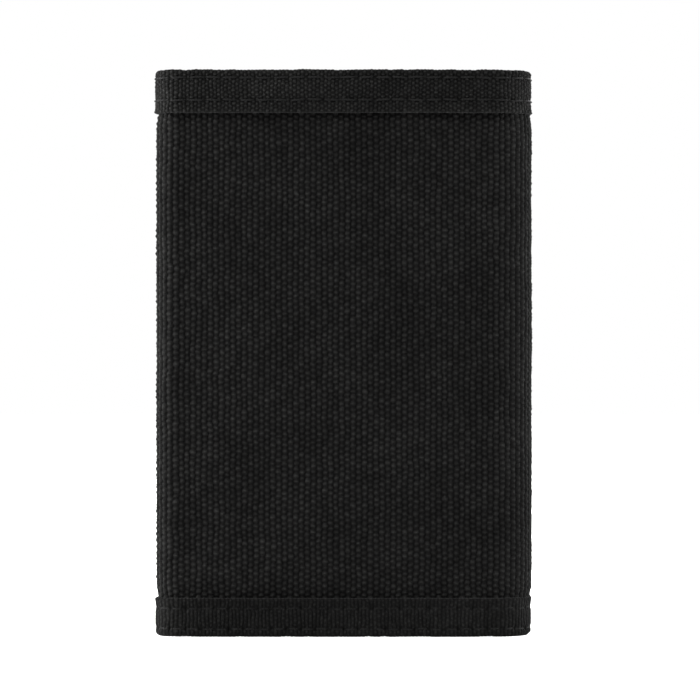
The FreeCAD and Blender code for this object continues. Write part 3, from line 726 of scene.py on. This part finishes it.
# ------------------------------------------------------------------ upright bindings
def make_end_binding(body, edge, reach):
    """Tape folded over a flap's free upright edge.

    Its two ends reach under the top tape and the bottom tape, and sink there.
    """
    section, total = hook_section(0.0, STACK, edge, reach, END_ROUND, TAPE_STEP)
    under, sink, over = 0.7 * MM, 0.42 * MM, 0.25 * MM
    low, high = BOTTOM_TAPE, HEIGHT - TOP_TAPE
    heights = np.arange(low - under, high + under, TAPE_COLUMN / SAMPLES)
    height = np.repeat(heights[:, None], len(section), axis=1)
    covered = np.maximum(low - height, height - high)
    out = tape_relief(height, section, total, END_ROWS, 32)
    out = out - sink * np.clip(covered / over, 0.0, 1.0)
    run = section[:, 1] + section[:, 3] * out
    depth = section[:, 0] + section[:, 2] * out
    v = np.broadcast_to(section[:, 4], run.shape)
    piece = wrapped(body + "_end_tape", cloth_point(run, depth, height), height, v, total,
                    TAPE_CLOTH)
    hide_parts(body + "_end_binding")
    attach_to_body(piece, body)


make_end_binding("inner_flap", INNER_END, INNER_END + BINDING)
make_end_binding("outer_flap", OUTER_END, OUTER_END - BINDING)


# ------------------------------------------------------------------ flat panels
def extent(node, body):
    """Lowest and highest (run, depth, height) of a frame node that lies flat on a leaf."""
    low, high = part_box(node)
    if body == "centre":
        run, depth = (low.x - LEFT, high.x - LEFT), (low.y - FACE, high.y - FACE)
    elif body == "inner_flap":
        run = (-INNER_TURN - (high.x - LEFT), -INNER_TURN - (low.x - LEFT))
        depth = (INNER_FACE - high.y, INNER_FACE - low.y)
    else:
        run = (OUTER_START + low.y - OUTER_SHELL_LOW.y, OUTER_START + high.y - OUTER_SHELL_LOW.y)
        depth = (OUTER_FACE - high.x, OUTER_FACE - low.x)
    return run, depth, (low.z, high.z)


def soft_edge(distance, radius):
    """Share of full thickness at a distance from an edge rounded to a quarter circle."""
    near = np.clip(distance / radius, 0, 1)
    return np.sqrt(1 - (1 - near) ** 2)


def seam_trough(distance, row, along, pitch, sink):
    """Dip of the cloth along a seam at a distance from the edge, deeper at each needle hole."""
    near = np.exp(-((distance - row) / (0.5 * MM)) ** 2)
    return sink * near * (0.6 + 0.6 * needle_beat(along, pitch))


def make_panel(name, body, node, material, outward, relief, step=0.8 * MM, edge=0.35 * MM):
    """A flat panel with rounded edges: a closed section carried along the leaf.

    outward is 1 if it shows on the inside of the leaf and -1 on the outside.  relief(run,
    height, from ends, from top) gives what stands above its plain thickness.
    """
    (run_low, run_high), (depth_low, depth_high), (low, high) = extent(node, body)
    back = depth_low if outward > 0 else depth_high
    thick = depth_high - depth_low

    def spaced(first, last):
        """Even steps, with three fine ones at each end for the rounding."""
        fine = np.array([0, 0.15, 0.5, 1.0]) * edge
        count = max(2, round((last - first - 2 * edge) / step))
        middle = np.linspace(first + edge, last - edge, count + 1)[1:-1]
        return np.concatenate([first + fine, middle, (last - fine)[::-1]])

    runs, face = spaced(run_low, run_high), spaced(low, high)
    run, height = np.meshgrid(runs, face, indexing="ij")
    from_ends = np.minimum(run - run_low, run_high - run)
    from_top = high - height
    from_edge = np.minimum(from_ends, np.minimum(from_top, height - low))
    full = thick + relief(run, height, from_ends, from_top)
    rim = 0.04 * MM
    front = back + outward * (rim + (full - rim) * soft_edge(from_edge, edge))
    run = np.hstack([run, run[:, :2]])
    height = np.hstack([height, np.full((len(runs), 1), high), np.full((len(runs), 1), low)])
    depth = np.hstack([front, np.full((len(runs), 2), back)])
    piece = wrapped(name, cloth_point(run, depth, height), run, height, low, material)
    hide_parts(node)
    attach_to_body(piece, body)


HEM = 6.5 * MM                # turned hem at a card pocket's mouth
HEM_SEAM = HEM - 1.0 * MM     # its seam below the mouth
WINDOW_SEAM = 1.8 * MM        # seam round the clear window, from the opening
COIN_SEAM = 2.6 * MM          # seam round the coin pocket, from its edge
SLOT_SEAM = 1.7 * MM          # seam round the zip, from the slot
PATCH_SEAM = 1.6 * MM         # seams of the hook strip's patch, from its ends
FINE_STITCH, LONG_STITCH = 2.6 * MM, 2.8 * MM


def pocket_relief(bow):
    """A turned hem with its seam at the pocket's mouth, and a mouth that bows out a little."""
    def relief(run, height, from_ends, from_top):
        """What stands above this pocket's plain thickness."""
        middle = np.clip(from_ends / (20 * MM), 0, 1)
        bowed = bow * np.sin(math.pi / 2 * middle) * np.exp(-from_top / (22 * MM))
        turned = 0.16 * MM * (from_top < HEM)
        wave = 0.05 * MM * value_noise(run, height, 8 * MM, 51)
        sewn = seam_trough(from_top, HEM_SEAM, run, FINE_STITCH, 0.14 * MM)
        return bowed + turned + wave - sewn
    return relief


def even_relief(run, height, from_ends, from_top):
    """A plain panel, a little uneven, sewn down near its ends."""
    return 0.06 * MM * value_noise(run, height, 6 * MM, 52) - \
        seam_trough(from_ends, PATCH_SEAM, height, LONG_STITCH, 0.15 * MM)


def nap_relief(run, height, from_ends, from_top):
    """Matted loop pile, lower along the sewn edge."""
    tufts = 0.22 * MM * value_noise(run, height, 0.9 * MM, 53)
    tufts = tufts + 0.12 * MM * value_noise(run, height, 0.45 * MM, 54)
    return tufts - 0.75 * MM - 0.25 * MM * np.exp(-(from_ends / (1.2 * MM)) ** 2)


def base_relief(run, height, from_ends, from_top):
    """The woven ground that the hooks stand on."""
    return -1.25 * MM + 0.05 * MM * value_noise(run, height, 1.5 * MM, 55)


def zip_tape_relief(run, height, from_ends, from_top):
    """Ribbed zip tape."""
    return 0.05 * MM * np.cos(2 * math.pi * run / (0.8 * MM))


POCKETS = {"back": 0.25 * MM, "middle": 0.40 * MM, "front": 0.55 * MM}  # bow of each mouth
for level, bow in POCKETS.items():
    make_panel("card_pocket_%s_cloth" % level, "centre", "card_pocket_" + level, POCKET_CLOTH,
               1, pocket_relief(bow))
make_panel("hook_patch_cloth", "outer_flap", "hook_patch", POCKET_CLOTH, 1,
           even_relief)
make_panel("hook_strip_ground", "outer_flap", "hook_strip", HOOK_PLASTIC, 1, base_relief)
make_panel("loop_strip_pile", "inner_flap", "loop_strip", NAP_CLOTH, -1, nap_relief,
           0.45 * MM, 0.6 * MM)
for side in ("fold_side", "free_side"):
    make_panel("zip_tape_%s_cloth" % side, "outer_flap", "zip_tape_" + side, ZIP_CLOTH,
               1, zip_tape_relief, 0.2 * MM, 0.15 * MM)


# ------------------------------------------------------------------ panels with an opening
def rounded_loop(run_range, height_range, corner, side=28, turn=7):
    """Points round a rounded rectangle: as many on each side, and on each corner, of any size."""
    (left, right), (low, high) = run_range, height_range
    corner = max(corner, 0.01 * MM)
    centres = ((right - corner, low + corner, -90), (right - corner, high - corner, 0),
               (left + corner, high - corner, 90), (left + corner, low + corner, 180))
    points = []
    for number, (x, z, start) in enumerate(centres):
        angle = np.radians(np.linspace(start, start + 90, turn))
        arc = np.stack([x + corner * np.cos(angle), z + corner * np.sin(angle)], axis=1)
        after_x, after_z, after_start = centres[(number + 1) % 4]
        angle = math.radians(after_start)
        ahead = np.array([after_x + corner * math.cos(angle), after_z + corner * math.sin(angle)])
        share = np.linspace(0, 1, side + 2)[1:-1, None]
        points.append(np.vstack([arc, arc[-1] * (1 - share) + ahead * share]))
    return np.vstack(points)


def rectangle_distance(points, run_range, height_range, corner):
    """Distance of points inside (positive) or outside (negative) a rounded rectangle."""
    middle = np.array([sum(run_range) / 2, sum(height_range) / 2])
    half = np.array([run_range[1] - run_range[0], height_range[1] - height_range[0]]) / 2 - corner
    past = np.abs(points - middle) - half
    outside = np.linalg.norm(np.maximum(past, 0), axis=-1)
    return corner - outside - np.minimum(past.max(axis=-1), 0)


def make_frame_panel(name, body, node, hole, hole_corner, corner, wall, shell, material,
                     relief):
    """A panel with an opening: loops from its outer edge in to the opening, and back behind.

    hole is the opening's (run range, height range).  wall is the radius at the outer
    edge, and shell how thick its front cloth is.
    """
    outer_run, (back, front), outer_height = extent(node, body)
    outer = rounded_loop(outer_run, outer_height, corner)
    inner = rounded_loop(*hole, hole_corner)
    share = np.concatenate([[0, 0.01, 0.03, 0.06], np.linspace(0.1, 0.9, 26), [0.95, 0.98, 1.0]])
    flat = outer[None] * (1 - share[:, None, None]) + inner[None] * share[:, None, None]
    from_outer = np.maximum(rectangle_distance(flat, outer_run, outer_height, corner), 0)
    from_hole = np.maximum(-rectangle_distance(flat, *hole, hole_corner), 0)
    full = front - back + relief(flat[..., 0], flat[..., 1], from_outer, from_hole)
    round_hole = soft_edge(from_hole, 0.3 * MM)
    thick = full * soft_edge(from_outer, wall) * (1 - 0.3 * (1 - round_hole))
    depth = back + np.maximum(thick, 0.02 * MM)
    hem = wall + shell
    lined = rounded_loop((outer_run[0] + hem, outer_run[1] - hem),
                         (outer_height[0] + hem, outer_height[1] - hem), corner)
    under = front - shell
    flat = np.concatenate([flat, inner[None], lined[None], lined[None]])
    depth = np.vstack([depth, np.full((2, len(inner)), under), np.full((1, len(inner)), back)])
    points = cloth_point(flat[..., 0], depth, flat[..., 1])
    faces = lattice(*depth.shape, closed_rows=True)
    uv = flat.reshape(-1, 2)[faces]
    no_caps = np.zeros((0, 3), int)
    piece = make_piece(name, points.reshape(-1, 3), faces, no_caps, uv, material)
    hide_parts(node)
    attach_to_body(piece, body)


def window_relief(run, height, from_outer, from_hole):
    """Turned and sewn edge round the clear window."""
    turned = 0.18 * MM * (1 - np.clip((from_hole - 3.4 * MM) / (0.4 * MM), 0, 1))
    wave = 0.05 * MM * value_noise(run, height, 7 * MM, 61)
    sewn = seam_trough(from_hole, WINDOW_SEAM, run + height, FINE_STITCH, 0.2 * MM)
    return turned + wave - sewn


def coin_relief(run, height, from_outer, from_hole):
    """The coin pocket's front: slack between its seams, turned in at the zip."""
    slack = 0.35 * MM * value_noise(run, height, 14 * MM, 62)
    slack = slack * np.clip(np.minimum(from_outer, from_hole) / (5 * MM), 0, 1)
    sewn = seam_trough(from_hole, SLOT_SEAM, height, LONG_STITCH, 0.3 * MM)
    edge = seam_trough(from_outer, COIN_SEAM, run + height, LONG_STITCH, 0.3 * MM)
    return slack - sewn - edge


film_run, _, film_height = extent("id_window_film", "inner_flap")
FILM_LAP = 5.0 * MM           # film caught behind the frame
WINDOW_CORNER = 4.0 * MM
WINDOW = ((film_run[0] + FILM_LAP, film_run[1] - FILM_LAP),
          (film_height[0] + FILM_LAP, film_height[1] - FILM_LAP))
make_frame_panel("id_window_frame_cloth", "inner_flap", "id_window_frame", WINDOW,
                 WINDOW_CORNER, 0.3 * MM, 0.3 * MM, 0.7 * MM, POCKET_CLOTH,
                 window_relief)

tape_near, _, tape_height = extent("zip_tape_fold_side", "outer_flap")
tape_far, _, _ = extent("zip_tape_free_side", "outer_flap")
ZIP_RUN = (tape_near[0] + tape_far[1]) / 2
SLOT_HALF = 4.0 * MM          # half the width of the zip's slot
TAPE_LAP = 5.0 * MM           # zip tape beyond the slot
SLOT_CORNER = 0.8 * MM
ZIP_SLOT = ((ZIP_RUN - SLOT_HALF, ZIP_RUN + SLOT_HALF),
            (tape_height[0] + TAPE_LAP, tape_height[1] - TAPE_LAP))
make_frame_panel("coin_pocket_cloth", "outer_flap", "coin_pocket_front", ZIP_SLOT, SLOT_CORNER,
                 3.0 * MM, 0.9 * MM, 0.8 * MM, CANVAS_FINE, coin_relief)


# ------------------------------------------------------------------ hooks and loops
HOOK_WIRE, LOOP_WIRE = 0.11 * MM, 0.06 * MM  # radius of a hook's and of a loop's fibre


def bent_wires(name, paths, radius, around, material, body, upright):
    """Many short bent wires, each a path of points (n x points x 3) in run, depth, height.

    The tube's section lies in the plane of upright and the third direction, which is
    enough for wires that bend in one plane.
    """
    count, length = paths.shape[:2]
    along = np.gradient(paths, axis=1)
    along /= np.linalg.norm(along, axis=2)[..., None]
    side = np.cross(along, upright[:, None, :])
    side /= np.linalg.norm(side, axis=2)[..., None]
    other = np.cross(along, side)
    angle = np.linspace(0, 2 * math.pi, around, endpoint=False)
    ring = side[:, :, None] * np.cos(angle)[:, None] + other[:, :, None] * np.sin(angle)[:, None]
    tube = paths[:, :, None] + radius * ring
    every, caps = tube_faces(count, length, around)
    points = cloth_point(tube[..., 0], tube[..., 1], tube[..., 2]).reshape(-1, 3)
    place = np.stack([np.tile(np.repeat(np.linspace(0, 1, length), around), count),
                      np.tile(np.tile(angle, length), count)], axis=1)
    piece = make_piece(name, points, every, caps, place[every], material)
    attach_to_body(piece, body)


def make_hooks():
    """Rows of little hooks, each a stem that turns over at its head, facing up and down in turn."""
    (run_low, run_high), (low, _), (bottom, top) = extent("hook_strip", "outer_flap")
    pitch_run, pitch_height = 1.45 * MM, 1.35 * MM
    runs = np.arange(run_low + 1.6 * MM, run_high - 1.3 * MM, pitch_run)
    heights = np.arange(bottom + 1.4 * MM, top - 1.2 * MM, pitch_height)
    run, height = (g.ravel() for g in np.meshgrid(runs, heights, indexing="ij"))
    random = np.random.default_rng(71)
    run = run + random.uniform(-0.12, 0.12, run.size) * MM
    facing = np.where(np.round((run - run_low) / pitch_run).astype(int) % 2 == 0, 1.0, -1.0)
    angle = np.radians([0, 25, 80, 140, 200])
    bend = 0.33 * MM
    stem = 0.75 * MM
    rise = np.concatenate([[0.0], stem + bend * np.sin(angle)])
    over = np.concatenate([[0.0], bend * (1 - np.cos(angle))])
    ground = low + 0.45 * MM
    paths = np.stack([np.repeat(run[:, None], len(rise), axis=1),
                      ground + np.repeat(rise[None], run.size, axis=0),
                      height[:, None] + facing[:, None] * over[None]], axis=-1)
    across = np.tile([1.0, 0.0, 0.0], (run.size, 1))
    bent_wires("hook_strip_hooks", paths, HOOK_WIRE, 4, HOOK_PLASTIC, "outer_flap",
               across)


def make_loops():
    """Fine tangled loops standing out of the pile, each half an ellipse turned at random."""
    (run_low, run_high), (_, high), (bottom, top) = extent("loop_strip", "inner_flap")
    random = np.random.default_rng(72)
    count, bare = 2600, 0.8 * MM
    run = random.uniform(run_low + bare, run_high - bare, count)
    height = random.uniform(bottom + bare, top - bare, count)
    turn = random.uniform(0, math.pi, count)
    wide = random.uniform(0.35, 0.8, count) * MM
    tall = random.uniform(0.35, 0.75, count) * MM
    angle = np.linspace(0, math.pi, 6)
    across = wide[:, None] * np.cos(angle)
    rise = tall[:, None] * np.sin(angle)
    ground = high - 1.0 * MM
    paths = np.stack([run[:, None] + across * np.cos(turn)[:, None], ground - rise,
                      height[:, None] + across * np.sin(turn)[:, None]], axis=-1)
    upright = np.stack([-np.sin(turn), np.zeros(count), np.cos(turn)], axis=1)
    bent_wires("loop_strip_loops", paths, LOOP_WIRE, 3, NAP_CLOTH, "inner_flap", upright)


make_hooks()
make_loops()


# ------------------------------------------------------------------ seams
THREAD_RADIUS = 0.24 * MM


class Seams:
    """Collects stitches for each body or fold, and makes one thread piece of each."""

    def __init__(self):
        self.rows = {}

    def add(self, zone, run, height, heading, depth, outward, pitch):
        """Stitches at points along a seam; heading is its angle above the run."""
        count = len(run)
        self.rows.setdefault(zone, []).append(np.column_stack([
            run, height, np.broadcast_to(heading, count), np.broadcast_to(depth, count),
            np.full(count, outward), np.full(count, pitch)]))

    def make(self):
        """Each stitch is a short round thread that dives into the cloth at both ends."""
        for zone, rows in self.rows.items():
            run, height, heading, depth, outward, pitch = np.vstack(rows).T[:, :, None, None]
            random = np.random.default_rng(81)
            heading = heading + random.normal(0, 0.05, heading.shape)
            along = np.linspace(-1, 1, 7)[None, :, None]
            angle = np.linspace(0, 2 * math.pi, 6, endpoint=False)[None, None, :]
            radius = THREAD_RADIUS * np.sqrt(1 - 0.6 * along ** 4)
            lift = 0.10 * MM - 0.34 * MM * along ** 6
            ahead, sideways = along * pitch * 0.43, radius * np.sin(angle)
            run = run + ahead * np.cos(heading) - sideways * np.sin(heading)
            height = height + ahead * np.sin(heading) + sideways * np.cos(heading)
            depth = depth + outward * (lift + radius * np.cos(angle))
            points = cloth_point(run, depth, height)
            count, length, around = points.shape[:3]
            every, caps = tube_faces(count, length, around)
            u = np.broadcast_to(along * 1.5 * MM, (count, length, around))
            v = np.broadcast_to(angle, (count, length, around))
            uv = np.stack([u, v], axis=-1).reshape(-1, 2)[every]
            piece = make_piece(zone + "_thread", points.reshape(-1, 3), every, caps, uv, THREAD)
            attach(piece, zone)


seams = Seams()


def stitch_places(first, last, pitch):
    """Middles of the stitches between two ends, on whole multiples of the pitch."""
    return np.arange(math.ceil(first / pitch), math.ceil(last / pitch)) * pitch


def sew_bindings(zone):
    """Two rows along the top and bottom tapes, one along the note pocket's wall."""
    first, last = ZONES[zone]
    proud = TAPE_PROUD - 0.05 * MM
    top_pulled, bottom_pulled = 0.02 * MM, 0.40 * MM
    rows = []
    for row, pitch, _ in TOP_ROWS:
        rows.append((pitch, HEIGHT - TOP_TAPE + row, -WEB - proud + top_pulled, -1))
    for row, pitch, _ in BOTTOM_ROWS:
        rows.append((pitch, BOTTOM_TAPE - row, -WEB - proud + bottom_pulled, -1))
        rows.append((pitch, BOTTOM_TAPE - row, None, 1))
    for row, pitch, _ in LINING_ROWS:
        rows.append((pitch, HEIGHT - BINDING + row, FOLD_STACK + WEB + proud, 1))
    for pitch, level, depth, outward in rows:
        run = stitch_places(first, last, pitch)
        side, rise = drift(run, np.full_like(run, level))
        place = local_stack(run) + WEB + proud if depth is None else depth
        if outward < 0:
            place = place - swell(run, level)
        seams.add(zone, run + side, level + TAPE_RISE * rise, 0.0, place, outward, pitch)


def sew_upright(zone, run, low, high, depth, outward, pitch):
    """One upright row of stitches."""
    height = stitch_places(low, high, pitch)
    seams.add(zone, np.full_like(height, run), height, math.pi / 2, depth, outward, pitch)


def sew_round(zone, run_range, height_range, corner, depth, pitch):
    """Stitches round a rounded rectangle, on the side that shows inside the wallet."""
    loop = rounded_loop(run_range, height_range, corner)
    loop = np.vstack([loop, loop[:1]])
    distance = np.concatenate([[0], np.cumsum(np.linalg.norm(np.diff(loop, axis=0), axis=1))])
    count = round(distance[-1] / pitch)
    places = (np.arange(count) + 0.5) * distance[-1] / count
    run, height = (np.interp(places, distance, loop[:, k]) for k in (0, 1))
    ahead = places + 0.2 * MM
    heading = np.arctan2(np.interp(ahead, distance, loop[:, 1]) - height,
                         np.interp(ahead, distance, loop[:, 0]) - run)
    seams.add(zone, run, height, heading, depth, 1, pitch)


for zone in ZONES:
    sew_bindings(zone)
for body, edge, side in (("inner_flap", INNER_END, 1), ("outer_flap", OUTER_END, -1)):
    for row, pitch, _ in END_ROWS:
        place = edge + side * (BINDING - row)
        for depth, outward in ((-WEB - TAPE_PROUD, -1), (STACK + WEB + TAPE_PROUD, 1)):
            sew_upright(body, place, BINDING, HEIGHT - BINDING, depth, outward, pitch)
for level in POCKETS:
    (run_low, run_high), (_, depth), (_, top) = extent("card_pocket_" + level, "centre")
    run = stitch_places(run_low + 1 * MM, run_high - 1 * MM, FINE_STITCH)
    bowed = 0.25 * MM
    seams.add("centre", run, np.full_like(run, top - HEM_SEAM), 0.0, depth + bowed, 1,
              FINE_STITCH)


def grown(span, by):
    """A range made longer at both ends."""
    return (span[0] - by, span[1] + by)


_, (_, frame_face), _ = extent("id_window_frame", "inner_flap")
sew_round("inner_flap", grown(WINDOW[0], WINDOW_SEAM), grown(WINDOW[1], WINDOW_SEAM),
          WINDOW_CORNER + WINDOW_SEAM, frame_face + 0.1 * MM, FINE_STITCH)
coin_run, (_, coin_face), coin_height = extent("coin_pocket_front", "outer_flap")
coin_thread = coin_face - 0.2 * MM
sew_round("outer_flap", grown(coin_run, -COIN_SEAM), grown(coin_height, -COIN_SEAM), 1.5 * MM,
          coin_thread, LONG_STITCH)
sew_round("outer_flap", grown(ZIP_SLOT[0], SLOT_SEAM), grown(ZIP_SLOT[1], SLOT_SEAM),
          SLOT_CORNER + SLOT_SEAM, coin_thread, LONG_STITCH)
patch_run, (_, patch_face), patch_height = extent("hook_patch", "outer_flap")
sew_upright("outer_flap", patch_run[0] + PATCH_SEAM, BINDING, patch_height[1] - 1 * MM,
            patch_face, 1, LONG_STITCH)
seams.make()


# ------------------------------------------------------------------ metal and film
def finish_node(node, material, bevel):
    """A frame node that stays: its finish, and small rounded edges."""
    piece = frame["nodes"][node]
    piece.data.materials.clear()
    piece.data.materials.append(material)
    if bevel:
        weld = piece.modifiers.new("join", "WELD")
        weld.merge_threshold = 0.001 * MM
        rounding = piece.modifiers.new("round_edges", "BEVEL")
        rounding.width = bevel
        rounding.segments = 2
        rounding.limit_method = "ANGLE"
        rounding.angle_limit = math.radians(40)
        rounding.harden_normals = False


TOOTH_EDGE, STOP_EDGE, SLIDER_EDGE = 0.10 * MM, 0.15 * MM, 0.12 * MM
for side in ("fold_side", "free_side"):
    finish_node("zip_teeth_" + side, TOOTH_METAL, TOOTH_EDGE)
    finish_node("zip_stop_" + side, TOOTH_METAL, TOOTH_EDGE)
finish_node("zip_end_stop", TOOTH_METAL, STOP_EDGE)
for node in ("zip_slider", "zip_pull"):
    finish_node(node, ZINC, SLIDER_EDGE)
finish_node("id_window_film", VINYL, None)


# ------------------------------------------------------------------ studio
MIDDLE = (0, 0, 0.06)         # what every lamp points at
LAMPS = {                     # place, size, watts
    "key": ((-0.2, -0.65, 1.05), (0.4, 0.3), 10.0),
    "left": ((-0.32, -0.022, 0.12), (0.15, 0.3), 3.6),
    "right": ((0.32, -0.022, 0.12), (0.15, 0.3), 1.7),
    "back": ((0.3, 0.9, 0.7), (0.8, 0.8), 12.0),
}
CAMERA_AWAY = 0.8705          # camera in front of the top tape's face
CAMERA_RIGHT, CAMERA_HIGH = 0.00146, 0.06422


def add_to_scene(name, data, place):
    """A new object at a place in the scene."""
    thing = bpy.data.objects.new(name, data)
    bpy.context.scene.collection.objects.link(thing)
    thing.location = place
    return thing


def area_lamp(name, place, size, power):
    """A flat lamp turned towards the wallet's middle."""
    data = bpy.data.lights.new(name, "AREA")
    data.shape = "RECTANGLE"
    data.size, data.size_y = size
    data.energy = power
    lamp = add_to_scene(name, data, place)
    lamp.rotation_euler = (Vector(MIDDLE) - Vector(place)).to_track_quat("-Z", "Y").to_euler()


def camera_ray(net):
    """1 for what the camera, a mirror or clear film sees of the backdrop, else 0."""
    path = net.add("ShaderNodeLightPath").outputs
    seen = net.math("MAXIMUM", path["Is Camera Ray"], path["Is Glossy Ray"])
    return net.math("MAXIMUM", seen, path["Is Transmission Ray"])


def make_backdrop():
    """A white surround that lights the wallet only a little."""
    world = bpy.data.worlds.new("studio")
    bpy.context.scene.world = world
    world.use_nodes = True
    world.node_tree.nodes.clear()
    net = Net(world.node_tree)
    strength = net.math("MULTIPLY_ADD", camera_ray(net), 0.75, 0.25)
    sky = net.add("ShaderNodeBackground", {"Color": (1, 1, 1, 1), "Strength": strength})
    out = net.add("ShaderNodeOutputWorld")
    world.node_tree.links.new(sky.outputs[0], out.inputs["Surface"])


def make_floor():
    """A pale floor that keeps the wallet's shadow and runs out to white."""
    mesh = bpy.data.meshes.new("floor")
    reach = 3.0
    corners = [(-reach, -reach, 0), (reach, -reach, 0), (reach, reach, 0), (-reach, reach, 0)]
    mesh.from_pydata(corners, [], [(0, 1, 2, 3)])
    floor = add_to_scene("floor", mesh, (0, 0, 0))
    material, net, shader = new_material("pale_floor", {
        "Base Color": (0.8, 0.8, 0.8, 1), "Roughness": 0.9, "Specular IOR Level": 0.0,
        "Emission Color": (1, 1, 1, 1)})
    place = net.add("ShaderNodeTexCoord").outputs["Object"]
    away = net.add("ShaderNodeVectorMath", {0: place}, operation="LENGTH").outputs["Value"]
    glow = net.ramp(away, 0.2, 0.7, 0.62, 1.0)
    net.feed(shader.inputs["Emission Strength"], net.math("MULTIPLY", camera_ray(net), glow))
    mesh.materials.append(material)


def make_camera():
    """A long lens level with the wallet, straight in front of it."""
    data = bpy.data.cameras.new("camera")
    data.lens, data.sensor_width = 200, 36
    data.clip_start, data.clip_end = 0.01, 20
    camera = add_to_scene("camera", data, (CAMERA_RIGHT, FACE - WEB - CAMERA_AWAY, CAMERA_HIGH))
    camera.rotation_euler = (math.pi / 2, 0, 0)
    bpy.context.scene.camera = camera


make_backdrop()
make_floor()
for lamp_name, (place, size, power) in LAMPS.items():
    area_lamp(lamp_name, place, size, power)
make_camera()
bpy.context.scene.view_settings.view_transform = "Standard"
